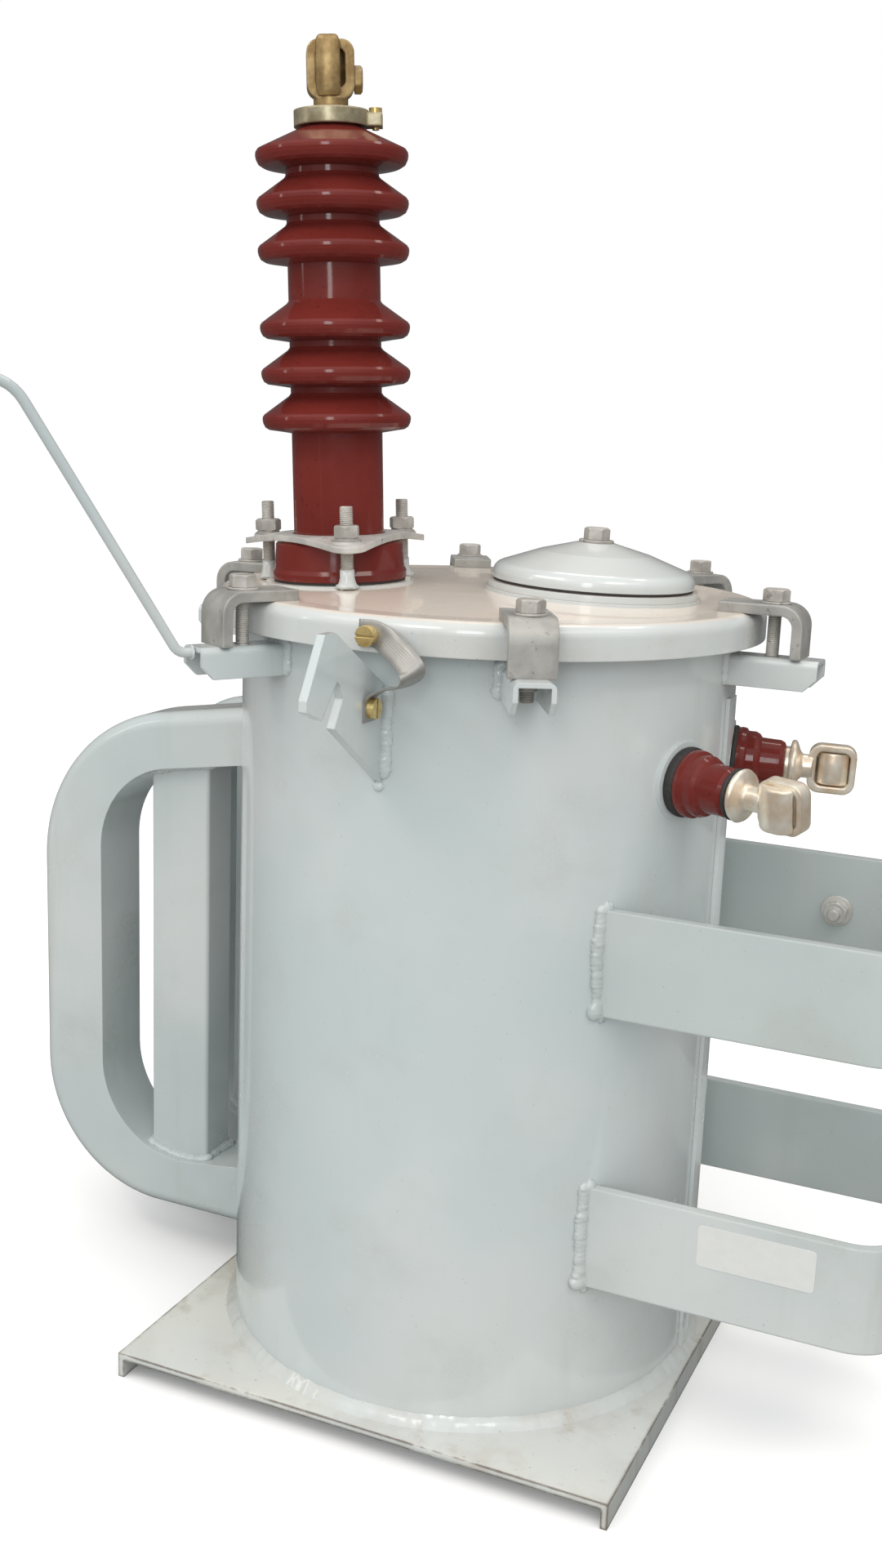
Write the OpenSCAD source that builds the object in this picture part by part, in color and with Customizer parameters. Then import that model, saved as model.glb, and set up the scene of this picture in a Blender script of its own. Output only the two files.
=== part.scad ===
// Single phase pole mounted distribution transformer, 15 kVA class.
// Millimetres. The tank axis is Z, the feet of the base plate stand on Z = 0,
// +X points to the pole (brackets and low voltage bushings), -Y to the front lifting lug.

/* [Base plate] */
// width of the base plate across the feet
base_w = 404; // [396:2:420]
// depth of the base plate, open ends front and back
base_d = 420; // [400:2:430]
// height of the folded feet
base_h = 20; // [16:1:26]
// sheet thickness of the base plate
base_t = 5; // [4:0.5:6]

/* [Tank] */
// outer radius of the tank wall
tank_r = 190; // [186:1:192]
// height of the tank wall above the base plate
tank_h = 584; // [576:2:592]
// thickness of the tank wall
wall_t = 3; // [2.5:0.5:4]
// overhang of the flat rim that carries the lid gasket
rim_over = 14; // [12:1:15]

/* [Lid] */
// overhang of the lid beyond the tank wall
lid_over = 19; // [18:1:21]
// depth of the lid skirt
skirt_h = 24; // [20:1:26]
// rise of the crowned top above its flat edge
crown_h = 6; // [4:0.5:8]
// sheet thickness of the lid
lid_t = 3; // [2.5:0.5:4]

/* [Lid clamps] */
// width of each bent clamp
clamp_w = 32; // [28:1:36]
// thickness of the clamp bar
clamp_t = 7.5; // [6:0.5:9]
// outer radius of the clamp's bend
clamp_bend = 16; // [12:1:20]
// reach of the tank lugs beyond the wall
lug_reach = 66; // [62:1:70]
// width of the tank lugs
lug_w = 28; // [26:1:30]
// height of the tank lugs
lug_h = 22; // [20:0.5:26]
// sheet thickness of the tank lugs
lug_t = 3.5; // [3:0.5:4]
// diameter of the clamp bolts
clamp_bolt_d = 10; // [8:1:12]
// width across the flats of the hexagon heads and nuts
hex_af = 17; // [13:1:19]

/* [Handhole] */
// radius of the domed cover
hand_r = 75.5; // [72:0.5:80]
// rise of the domed cover
hand_h = 29; // [26:1:33]
// distance of the cover from the tank axis
hand_x = 81; // [79:1:84]

/* [High voltage bushing] */
// distance of the bushing from the tank axis
hv_x = 117; // [112:1:118]
// radius of the sheds
shed_r = 55.5; // [52:0.5:58]
// radius of the porcelain stem
stem_r = 34; // [32:0.5:35]
// spacing of the sheds within a group of three
shed_pitch = 33; // [31:0.5:34]
// height of the cap seat above the lid
hv_h = 326; // [320:1:332]

/* [Low voltage bushings] */
// height of the bushing axes above the floor
lv_z = 500; // [490:1:504]
// angle of the front bushing around the tank
lv_angle_1 = -20; // [-24:1:-18]
// angle of the back bushing around the tank
lv_angle_2 = 11; // [9:1:14]

/* [Pole brackets] */
// outer width of the two hoops
bracket_w = 249; // [240:1:256]
// reach of the hoops from the tank axis
bracket_reach = 372; // [360:1:384]
// height of the flat bar
bar_h = 78; // [74:1:82]
// thickness of the flat bar
bar_t = 8; // [6:0.5:9]
// height of the upper hoop's middle line
upper_z = 376; // [370:1:382]
// height of the lower hoop's middle line
lower_z = 167; // [160:1:174]
// diameter of the pole bolt holes in the closed ends
pole_hole_d = 18; // [14:1:22]
// spacing of the two holes in each closed end
pole_hole_gap = 110; // [90:5:130]

/* [Radiators] */
// angle between neighbouring radiators
rad_step = 22; // [20:1:24]
// reach of the radiators from the tank axis
rad_reach = 409; // [400:1:418]
// underside of the lower arms
rad_low = 45; // [40:1:50]
// height of the upper arms' top at its bend
rad_high = 494; // [488:1:500]
// width of the pressed tube
tube_w = 58; // [54:1:62]
// depth of the upright leg
leg_d = 64; // [58:1:68]
// outer radius of the lower bend
low_bend = 120; // [112:1:126]
// outer radius of the upper bend
high_bend = 142; // [132:1:146]
// rise of the upper arm towards the tank in degrees
arm_rise = 9; // [6:1:12]
// depth of the riser tube
riser_a = 57; // [52:1:60]
// width of the riser tube
riser_b = 38; // [32:1:42]

/* [Guard rod] */
// diameter of the round rod
rod_d = 7; // [6:0.5:8]

/* [Hidden] */
$fn = 96;
hole_play = 0.5;                        // gap around every bolt in its hole
tangent = 0.02;                         // how far a straight cuts into the arc that it runs on from
floor_z = base_h;                       // top of the base plate
bottom_t = 4;
rim_z = floor_z + tank_h;               // top of the tank rim
rim_t = 5;
gasket_t = 6;
// lid
lid_r = tank_r + lid_over;
land_r = lid_r - 27;                    // the crown ends here and the flat edge begins
land_z = rim_z + gasket_t + lid_t + 3;  // top of the flat edge
shoulder_r = 9;                         // outer radius of the fold between top and skirt
crown_r = (land_r * land_r + crown_h * crown_h) / (2 * crown_h);
crown_c = land_z + crown_h - crown_r;   // centre height of the crown's sphere
boss_h = 1;                             // raised seats pressed into the lid
// clamps and lugs
bolt_r = lid_r + 9;                     // radius of the clamp bolt circle
// angle of each clamp and how far it was set in or out of the bolt circle
clamps = [[0, 2], [60, 3], [118, 0], [180, -4], [240, 0], [299, 0]];
heel = 23.5;                            // from the bolt to the outer face of the clamp's leg
thread_r = clamp_bolt_d / 2;
head_h = 9;
washer_r = 11;
washer_t = 1.5;
lug_top = land_z - skirt_h - 6.5;
lug_end = tank_r + lug_reach;
lug_corner = 5;
lug_chamfer = 9;
// handhole
neck_h = 5;
hand_gasket_t = 2;
hand_shoulder = 9;
hand_hole = hand_r - 12;
yoke_w = 32;
yoke_t = 8;
// high voltage bushing
hv_angle = 207;
hv_flange_r = 48;
hv_flange_h = 29;
hv_lip = 3;                             // bead round the flange's foot
hv_gasket_t = 2;
hv_stud_r = 60;
hv_stud_a = [63, 183, 303];             // angles of the studs around the bushing
plate_t = 4.5;
plate_z = hv_flange_h + 3;              // top of the flange under the clamp plate
lobe_bend = 10;                         // slope of the lobes, pulled down by their studs
lobe_c = 63;                            // centre of the lobe tips
lobe_tip = 15;
seat_z = plate_z + plate_t - (hv_stud_r - hv_flange_r) * tan(lobe_bend);
stud_r = 5;
nut_h = 9.5;
hv_cap_r = 27;
hv_cap_t = 11;
hv_ear_a = 25;                          // where the cap is split and screwed together
hv_ear_l = 10;
hv_ear_w = 16;
hv_neck_r = 12.5;
hv_neck_h = 9;
hv_eye = [39.5, 34, 14];                // length, height and thickness of the clamping eye
// low voltage bushings, the back one with a thinner gasket and a shorter neck
lv_droop = 1.5;                         // how far the bushings point down
lv_boss_r = 29;
lv_boss_h = 1;
lv_gasket_r = 25.5;
lv_gasket_1 = 7;
lv_gasket_2 = 3.5;
lv_bore_r = 14;
lv_body_l = 36;                         // length of the porcelain outside its gasket
lv_turn_1 = 10;                         // how far each eye is turned about its neck
lv_turn_2 = 180;
lv_collar = 6.2;                        // from the porcelain's end to the collar's rim
lv_neck_1 = 22.5;                       // from the porcelain's end to the eye
lv_neck_2 = 17.5;
lv_washer_r = 20;
lv_washer_t = 3;
lv_eye = [35, 36.5, 11];
// hoops
bracket_y = bracket_w / 2;
bend_r = 40;
arm_x = sqrt(tank_r * tank_r - bracket_y * bracket_y);
// radiators
rad_first = 180;
tube_wall = 2;
tube_round = 12;                        // corner radius of the tube's outer half
half_t = 30;                            // depth of the rounded outer half
half_lap = 16;                          // depth at which the flat inner half starts
leg_in = rad_reach - leg_d;             // inner face of the leg
low_c = [rad_reach - low_bend, rad_low + low_bend];
high_c = [rad_reach - high_bend, rad_high - high_bend];
high_turn = 90 - arm_rise;
arm_d = 47;                             // depth of the arms at their bends
arm_taper = 7.5;                        // the lower arm deepens towards the tank
window_low = 80;                        // radius of the inner lower bend
window_high = 78;                       // radius of the inner upper bend
window_low_c = [leg_in - window_low, rad_low + arm_d + window_low];
window_high_c = [leg_in - window_high, rad_high - arm_d - window_high];
riser_x = tank_r + 52;                  // inner face of the straight riser tube
riser_round = 3;
// earthing strap
lug_plate_t = 6;
strap_t = 1.6;
strap_w = 18;
strap_z = land_z - 13;                  // height of the screw in the lid's skirt
strap_screw_r = 4;
lug_hole_x = tank_r + 23;
lug_hole_z = lug_top - 30;

// points of an arc from angle a0 to a1
function arc(cx, cy, r, a0, a1, n) =
    [for (i = [0:n]) [cx + r * cos(a0 + (a1 - a0) * i / n), cy + r * sin(a0 + (a1 - a0) * i / n)]];

// frame standing square on the crowned lid, z = 0 on its surface
module on_crown(angle, r) {
    translate([0, 0, crown_c]) rotate([0, 0, angle]) rotate([0, asin(r / crown_r), 0])
        translate([0, 0, crown_r]) children();
}

// frame on the lid's stud circle of the high voltage bushing
module hv_frame() { on_crown(hv_angle, hv_x) rotate([0, 0, -hv_angle]) children(); }

module hex(af, h) { cylinder(r = af / sqrt(3), h = h, $fn = 6); }

module oblong(a, b, r) {
    union() {
        square([a - 2 * r, b], center = true);
        square([a, b - 2 * r], center = true);
        for (x = [-1, 1], y = [-1, 1])
            translate([x * (a / 2 - r), y * (b / 2 - r)]) circle(r = r);
    }
}

module tube_section(a, b, r) {
    difference() {
        oblong(a, b, r);
        oblong(a - 2 * tube_wall, b - 2 * tube_wall, r - tube_wall);
    }
}

module base_plate() {
    color("lightgray") difference() {
        translate([-base_w / 2, -base_d / 2, 0]) cube([base_w, base_d, base_h]);
        translate([-base_w / 2 + base_t, -base_d / 2 - 1, -1])
            cube([base_w - 2 * base_t, base_d + 2, base_h - base_t + 1]);
    }
}

module tank_wall() {
    color("gainsboro") difference() {
        union() {
            translate([0, 0, floor_z]) cylinder(r = tank_r, h = tank_h);
            for (a = [lv_angle_1, lv_angle_2]) lv_frame(a) translate([-20, 0, 0]) rotate([0, 90, 0])
                cylinder(r = lv_boss_r, h = 20 + lv_boss_h);
        }
        translate([0, 0, floor_z - 1]) cylinder(r = tank_r - wall_t, h = tank_h + 2);
        for (a = [lv_angle_1, lv_angle_2]) lv_frame(a) translate([-20, 0, 0]) rotate([0, 90, 0])
            cylinder(r = lv_bore_r + 2, h = 40);
    }
}

module tank_bottom() {
    color("lightgray") translate([0, 0, floor_z]) cylinder(r = tank_r - wall_t, h = bottom_t);
}

module tank_rim() {
    color("silver") translate([0, 0, rim_z - rim_t]) difference() {
        cylinder(r = tank_r + rim_over, h = rim_t);
        translate([0, 0, -1]) cylinder(r = tank_r, h = rim_t + 2);
    }
}

module seam_strip() {
    h = lug_top - lug_h - floor_z - 12;
    color("lightgray") difference() {
        translate([0, 0, floor_z + 6]) rotate([0, 0, -1])
            rotate_extrude(angle = 6.5, $fn = 180) translate([tank_r, 0]) square([3, h - 6]);
        lv_frame(lv_angle_2) translate([-20, 0, 0]) rotate([0, 90, 0]) cylinder(r = lv_boss_r + 1, h = 40);
    }
}

module lid_gasket() {
    color("#333333") translate([0, 0, rim_z]) difference() {
        cylinder(r = lid_r - shoulder_r, h = gasket_t + 3);
        translate([0, 0, -1]) cylinder(r = tank_r + 1, h = gasket_t + 5);
    }
}

function crown_line(r, dz) = [for (i = [0:12]) let (x = r * i / 12)
    [x, crown_c + sqrt(crown_r * crown_r - x * x) + dz]];

module lid() {
    low = land_z - skirt_h;
    outer = concat(crown_line(land_r, 0),
        arc(lid_r - shoulder_r, land_z - shoulder_r, shoulder_r, 90, 0, 8), [[lid_r, low]]);
    r2 = shoulder_r - lid_t;
    inner = concat(crown_line(land_r, -lid_t),
        arc(lid_r - shoulder_r, land_z - shoulder_r, r2, 90, 0, 8), [[lid_r - lid_t, low]]);
    n = len(inner);
    color("lightgray") difference() {
        union() {
            rotate_extrude() polygon(concat(outer, [for (i = [0:n - 1]) inner[n - 1 - i]]));
            hv_frame() translate([0, 0, -lid_t / 2]) cylinder(r = hv_flange_r + 8, h = lid_t / 2 + boss_h);
            on_crown(0, hand_x) translate([0, 0, -lid_t / 2])
                cylinder(r = hand_r + 5, h = lid_t / 2 + boss_h);
        }
        hv_frame() translate([0, 0, -20]) cylinder(r = stem_r - 2, h = 40);
        on_crown(0, hand_x) translate([0, 0, -20]) cylinder(r = hand_hole, h = 40);
        translate([0, -lid_r + lid_t + 2, strap_z]) rotate([90, 0, 0])
            cylinder(r = strap_screw_r, h = lid_t + 6);
    }
}

// folded channel that carries a clamp bolt, open downwards, its top on y = 0
module lug_section() {
    difference() {
        union() {
            translate([-lug_w / 2, -lug_h]) square([lug_w, lug_h - lug_corner]);
            translate([lug_corner - lug_w / 2, -lug_corner]) square([lug_w - 2 * lug_corner, lug_corner]);
            for (s = [-1, 1]) translate([s * (lug_w / 2 - lug_corner), -lug_corner]) circle(r = lug_corner);
        }
        translate([lug_t - lug_w / 2, -lug_h - 1]) square([lug_w - 2 * lug_t, lug_h - lug_t + 1]);
    }
}

module clamp_lugs() {
    low = lug_top - lug_h;
    color("lightgray") for (c = clamps) rotate([0, 0, c[0]]) difference() {
        translate([tank_r - 10, 0, lug_top]) rotate([90, 0, 90]) linear_extrude(lug_reach + 10)
            lug_section();
        rotate([90, 0, 0]) linear_extrude(2 * lug_w, center = true)
            polygon([[lug_end - lug_chamfer - 1, low - 1], [lug_end + 1, low - 1],
                [lug_end + 1, low + lug_chamfer + 1]]);
        translate([bolt_r + c[1], 0, lug_top - 10]) cylinder(r = thread_r + hole_play, h = 20);
        cylinder(r = tank_r, h = 2 * rim_z);
    }
}

// side view of a clamp: toe on the lid's flat edge, bend, leg standing on the lug
module clamp_profile(heel_r) {
    top = land_z + clamp_t;
    translate([land_r, land_z]) square([heel_r - clamp_bend - land_r, clamp_t]);
    translate([heel_r - clamp_t, lug_top]) square([clamp_t, top - clamp_bend - lug_top]);
    translate([heel_r - clamp_bend, top - clamp_bend]) intersection() {
        difference() {
            circle(r = clamp_bend);
            circle(r = clamp_bend - clamp_t);
        }
        square(clamp_bend);
    }
}

module lid_clamps() {
    color("silver") for (c = clamps) rotate([0, 0, c[0]]) difference() {
        rotate([90, 0, 0]) linear_extrude(clamp_w, center = true) clamp_profile(bolt_r + c[1] + heel);
        translate([bolt_r + c[1], 0, land_z - 20]) cylinder(r = thread_r + hole_play, h = 60);
    }
}

module clamp_bolts() {
    top = land_z + clamp_t;
    low = lug_top - lug_h + 3;
    color("silver") for (c = clamps) rotate([0, 0, c[0]]) translate([bolt_r + c[1], 0, 0]) {
        translate([0, 0, top]) cylinder(r = washer_r, h = washer_t);
        translate([0, 0, top + washer_t]) hex(hex_af, head_h);
        translate([0, 0, low]) cylinder(r = thread_r, h = top - low + washer_t);
        translate([0, 0, lug_top - lug_t - 8]) cylinder(r = thread_r + 2, h = 8);
    }
}

module handhole_neck() {
    color("lightgray") on_crown(0, hand_x) translate([0, 0, boss_h]) difference() {
        cylinder(r = hand_r + 3, h = neck_h);
        translate([0, 0, -1]) cylinder(r = hand_hole, h = neck_h + 2);
    }
}

module handhole_gasket() {
    color("#333333") on_crown(0, hand_x) translate([0, 0, boss_h + neck_h]) difference() {
        cylinder(r = hand_r - 1, h = hand_gasket_t);
        translate([0, 0, -1]) cylinder(r = hand_hole, h = hand_gasket_t + 2);
    }
}

// top of the handhole's gasket, where the cover sits
module hand_seat() { on_crown(0, hand_x) translate([0, 0, boss_h + neck_h + hand_gasket_t]) children(); }

module handhole_cover() {
    c = hand_r - hand_shoulder;
    lip = 3;
    r = thread_r + hole_play;
    mid = [0.55 * hand_r, 0.75 * hand_h];   // the cone's gentle swell
    outer = concat([[hand_r, 0]], arc(c, lip, hand_shoulder, 0, 69, 6), [mid, [14, hand_h], [r, hand_h]]);
    inner = concat([[r, hand_h - 3], [14, hand_h - 3], mid - [1, 3]],
        arc(c, lip, hand_shoulder - 3, 69, 0, 6),
        [[hand_r - 3, 2], [hand_hole + 4, 2], [hand_hole + 4, 0]]);
    color("gainsboro") hand_seat() rotate_extrude() polygon(concat(outer, inner));
}

module handhole_bar() {
    color("dimgray") on_crown(0, hand_x) translate([0, 0, -lid_t - yoke_t - 1.1]) difference() {
        translate([-yoke_w / 2, -hand_r, 0]) cube([yoke_w, 2 * hand_r, yoke_t]);
        translate([0, 0, -1]) cylinder(r = thread_r + hole_play, h = 20);
    }
}

module handhole_bolt() {
    low = boss_h + neck_h + hand_gasket_t + hand_h + lid_t + 12;
    color("silver") hand_seat() translate([0, 0, hand_h]) {
        cylinder(r = 13, h = 2);
        translate([0, 0, 2]) hex(hex_af, head_h);
        translate([0, 0, -low]) cylinder(r = thread_r, h = low + 1);
    }
}

module hv_gasket() {
    color("#333333") hv_frame() translate([0, 0, boss_h]) difference() {
        cylinder(r = hv_flange_r + 2, h = hv_gasket_t);
        translate([0, 0, -1]) cylinder(r = stem_r - 2, h = hv_gasket_t + 2);
    }
}

// underside and tip of a shed whose tip stands at height t
function shed_tip(t) = [[stem_r, t - 11.5], [shed_r - 12, t - 10], [shed_r - 5, t - 9],
    [shed_r - 2, t - 7.2], [shed_r - 0.5, t - 4.2], [shed_r, t - 1.5], [shed_r - 0.2, t + 0.5],
    [shed_r - 1.5, t + 2.4]];

// turned outline of the porcelain: spigot through the lid, flange, five sheds and the sloped top shed
module hv_outline() {
    foot = boss_h + hv_gasket_t;
    low = hv_h - 204;
    mid = low + 2 * shed_pitch + 54;
    tips = [low, low + shed_pitch, low + 2 * shed_pitch, mid, mid + shed_pitch];
    polygon(concat([[0, -60], [stem_r - 4, -60], [stem_r - 4, foot], [hv_flange_r + hv_lip, foot],
        [hv_flange_r + hv_lip, foot + 5], [hv_flange_r + 1.5, foot + 8], [hv_flange_r, hv_flange_h],
        [hv_flange_r - 3, plate_z], [stem_r, plate_z]],
        [for (t = tips) each concat(shed_tip(t), [[stem_r + 1.5, t + 15.5], [stem_r, t + 17.5]])],
        shed_tip(mid + 2 * shed_pitch), [[25, hv_h - 2], [22, hv_h], [0, hv_h]]));
}

module hv_bushing() {
    color("#6b2420") hv_frame() difference() {
        rotate_extrude() hv_outline();
        translate([0, 0, hv_h - 14]) cylinder(r = 8, h = 20);
    }
}

// lobed outline of the clamp plate
module lobes() {
    t = acos((hv_flange_r - lobe_tip) / lobe_c);
    big_r = hv_flange_r - tangent;
    tip_r = lobe_tip - tangent;
    circle(r = hv_flange_r);
    for (a = hv_stud_a) rotate(a) {
        translate([lobe_c, 0]) circle(r = lobe_tip);
        polygon([for (s = [1, -1]) each let (big = big_r * [cos(t), s * sin(t)],
            tip = [lobe_c + tip_r * cos(t), s * tip_r * sin(t)]) s > 0 ? [big, tip] : [tip, big]]);
    }
}

module hv_clamp_plate() {
    far = lobe_c + lobe_tip + 5;
    drop = (far - hv_flange_r) * tan(lobe_bend);
    color("silver") hv_frame() difference() {
        union() {
            intersection() {
                translate([0, 0, plate_z]) rotate_extrude() polygon([[stem_r + 1, 0], [hv_flange_r, 0],
                    [far, -drop], [far, plate_t - drop], [hv_flange_r, plate_t], [stem_r + 1, plate_t]]);
                translate([0, 0, plate_z - 20]) linear_extrude(40) lobes();
            }
            for (a = hv_stud_a) rotate([0, 0, a]) translate([hv_stud_r, 0, seat_z - plate_t])
                cylinder(r = washer_r, h = plate_t);
        }
        for (a = hv_stud_a) rotate([0, 0, a]) translate([hv_stud_r, 0, 0]) {
            translate([0, 0, seat_z]) cylinder(r = washer_r, h = 10);
            translate([0, 0, seat_z - 10]) cylinder(r = stud_r + hole_play, h = 20);
        }
    }
}

module hv_studs() {
    color("silver") hv_frame() for (a = hv_stud_a) rotate([0, 0, a]) translate([hv_stud_r, 0, 0]) {
        translate([0, 0, boss_h]) cylinder(r = stud_r, h = seat_z + 24);
        translate([0, 0, boss_h]) cylinder(r1 = 9.5, r2 = stud_r, h = 5);
        translate([0, 0, seat_z]) cylinder(r = 10, h = 2);
        translate([0, 0, seat_z + 2]) hex(hex_af, nut_h);
    }
}

module hv_ear_frame() { hv_frame() translate([0, 0, hv_h]) rotate([0, 0, hv_ear_a]) children(); }

module hv_cap() {
    color("goldenrod") difference() {
        hv_ear_frame() union() {
            cylinder(r = hv_cap_r, h = hv_cap_t);
            translate([0, 0, hv_cap_t]) cylinder(r1 = hv_cap_r - 2, r2 = hv_neck_r + 1.5, h = 2);
            translate([0, 0, -12]) cylinder(r = 8, h = 12);
            translate([hv_cap_r - 4, -hv_ear_w / 2, 0]) cube([hv_ear_l + 4, hv_ear_w, hv_cap_t - 2]);
        }
        hv_ear_frame() {
            translate([hv_cap_r - 6, -1, -1]) cube([hv_ear_l + 10, 2, hv_cap_t + 4]);
            translate([hv_cap_r + hv_ear_l / 2, 0, -1]) cylinder(r = 2.5 + hole_play, h = 20);
        }
    }
}

module hv_cap_screw() {
    color("goldenrod") hv_ear_frame() translate([hv_cap_r + hv_ear_l / 2, 0, hv_cap_t - 2]) {
        translate([0, 0, -hv_cap_t]) cylinder(r = 2.5, h = hv_cap_t + 1);
        difference() {
            cylinder(r = 4.8, h = 4);
            translate([-7, -0.7, 2.5]) cube([14, 1.4, 3]);
        }
    }
}

// clamping eye along +X, its window open towards Y
module eye(size, band) {
    translate([size[0] / 2, size[2] / 2, 0]) rotate([90, 0, 0]) linear_extrude(size[2]) difference() {
        oblong(size[0], size[1], 9);
        translate([0.5, 0]) oblong(size[0] - 2 * band, size[1] - 2 * band, 5);
    }
}

// frame of the upright eye: X up along its neck, -Y towards the front
module hv_eye_frame() {
    hv_frame() translate([0, 0, hv_h + hv_cap_t + 2]) rotate([0, 0, 30]) rotate([0, -90, 0]) children();
}

module hv_terminal() {
    color("goldenrod") hv_eye_frame() {
        rotate([0, 90, 0]) cylinder(r = hv_neck_r, h = hv_neck_h - 2.4);
        translate([hv_neck_h - 3, 0, 0]) eye(hv_eye, 6.5);
    }
}

// rounded jaw over the left of the eye, and the head of the clamping bolt on its right
module hv_jaw() {
    l = hv_eye[0];
    front = -hv_eye[2] / 2;
    color("goldenrod") hv_eye_frame() translate([hv_neck_h - 3, 0, 0]) {
        intersection() {
            translate([0.8, front - 9, -4.5]) cube([l + 1, 8.7, 16]);
            translate([-5, front + 6, -1]) rotate([0, 90, 0]) cylinder(r = 14, h = l + 10);
        }
        translate([8, front - 1, -4.5]) cube([l - 16, hv_eye[2] - 2, 13]);
        translate([13.7, 2, -hv_eye[1] / 2]) rotate([0, 180, 0]) intersection() {
            hex(hex_af, 6);
            cylinder(r1 = 12.5, r2 = 6, h = 6);
        }
    }
}

// frame of a side bushing: X outwards along its axis
module lv_frame(a) { rotate([0, 0, a]) translate([tank_r, 0, lv_z]) rotate([0, lv_droop, 0]) children(); }

module lv_ring(r, h) {
    rotate([0, 90, 0]) difference() {
        cylinder(r = r, h = h);
        translate([0, 0, -1]) cylinder(r = lv_bore_r, h = h + 2);
    }
}

// flange gaskets of both bushings, and the washer under the front terminal's collar
module lv_gaskets() {
    color("#222222") {
        lv_frame(lv_angle_1) translate([lv_boss_h, 0, 0]) lv_ring(lv_gasket_r, lv_gasket_1);
        lv_frame(lv_angle_2) translate([lv_boss_h, 0, 0]) lv_ring(lv_gasket_r, lv_gasket_2);
        lv_end_frame(lv_angle_1, lv_gasket_1, 0) lv_ring(lv_washer_r, lv_washer_t);
    }
}

// frame at the outer end of a side bushing's porcelain
module lv_end_frame(a, seat, turn) {
    lv_frame(a) translate([lv_boss_h + seat + lv_body_l, 0, 0]) rotate([turn, 0, 0]) children();
}

module lv_bushing(a, seat) {
    color("#6b2420") lv_frame(a) translate([lv_boss_h + seat, 0, 0]) rotate([0, 90, 0]) rotate_extrude()
        polygon([[0, -35], [lv_bore_r, -35], [lv_bore_r, 0], [24, 0], [24.5, 3], [24, 6], [22, 7.5],
            [22, 13], [20.5, 16], [18, 18], [17.5, 32], [16, 35], [14, lv_body_l], [0, lv_body_l]]);
}

module lv_bushing_1() { lv_bushing(lv_angle_1, lv_gasket_1); }
module lv_bushing_2() { lv_bushing(lv_angle_2, lv_gasket_2); }

// brass stem with a turned collar, ending in a clamping eye
module lv_terminal(a, seat, turn, neck) {
    c = lv_collar;
    color("goldenrod") lv_end_frame(a, seat, turn) {
        rotate([0, 90, 0]) rotate_extrude() polygon([[0, 0], [13.5, 0], [13.5, c - 3], [18, c - 2],
            [19, c], [18, c + 2], [11, c + 5], [9, c + 7], [9, neck + 3], [0, neck + 3]]);
        translate([neck, 0, 0]) eye(lv_eye, 5);
    }
}

// jaw of a side eye: rounded face over the eye, round-ended shank through its window
module lv_jaw(a, seat, turn, neck) {
    l = lv_eye[0];
    h = lv_eye[1];
    t = lv_eye[2];
    color("goldenrod") lv_end_frame(a, seat, turn) translate([neck, -t / 2, 0]) {
        intersection() {
            translate([3.2, -9, 2.5 - h / 2]) cube([l - 11, 8.7, h - 5]);
            translate([0.45 * l, 8, -h]) cylinder(r = 17, h = 2 * h);
        }
        intersection() {
            translate([7.5, -1, 7 - h / 2]) cube([18, t, h - 14]);
            translate([16, 0, -h]) cylinder(r = t - 0.5, h = 2 * h);
        }
    }
}

module lv_terminal_1() { lv_terminal(lv_angle_1, lv_gasket_1, lv_turn_1, lv_neck_1); }
module lv_terminal_2() { lv_terminal(lv_angle_2, lv_gasket_2, lv_turn_2, lv_neck_2); }
module lv_jaw_1() { lv_jaw(lv_angle_1, lv_gasket_1, lv_turn_1, lv_neck_1); }
module lv_jaw_2() { lv_jaw(lv_angle_2, lv_gasket_2, lv_turn_2, lv_neck_2); }

module bracket(z) {
    straight = bracket_reach - bend_r;
    color("gainsboro") translate([0, 0, z - bar_h / 2]) difference() {
        union() {
            for (s = [-1, 1]) translate([arm_x - 40, s * (bracket_y - bar_t / 2) - bar_t / 2, 0])
                cube([straight - arm_x + 40, bar_t, bar_h]);
            translate([bracket_reach - bar_t, -bracket_y + bend_r, 0])
                cube([bar_t, bracket_w - 2 * bend_r, bar_h]);
            for (s = [-1, 1]) translate([straight, s * (bracket_y - bend_r), 0])
                rotate([0, 0, s > 0 ? 0 : -90])
                    rotate_extrude(angle = 90) translate([bend_r - bar_t, 0]) square([bar_t, bar_h]);
        }
        translate([0, 0, -1]) cylinder(r = tank_r, h = bar_h + 2);
        for (s = [-1, 1]) translate([bracket_reach - 20, s * pole_hole_gap / 2, bar_h / 2])
            rotate([0, 90, 0]) cylinder(d = pole_hole_d, h = 40);
    }
}

// frame of the stud through the upper hoop's far arm, z = 0 on its inner face
module stud_frame() {
    translate([tank_r + 73, bracket_y - bar_t, upper_z - 6]) rotate([90, 0, 0]) children();
}

module bracket_upper() {
    difference() {
        bracket(upper_z);
        stud_frame() translate([0, 0, -2 * bar_t]) cylinder(r = stud_r + hole_play, h = 4 * bar_t);
    }
}
module bracket_lower() { bracket(lower_z); }

module bracket_stud() {
    color("goldenrod") stud_frame() {
        cylinder(r = 12.5, h = 2.5);
        translate([0, 0, 2.5]) hex(hex_af, 8);
        translate([0, 0, -bar_t - 6]) cylinder(r = stud_r, h = 32);
        translate([0, 0, -bar_t - 6]) hex(hex_af, 6);
    }
}

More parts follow.
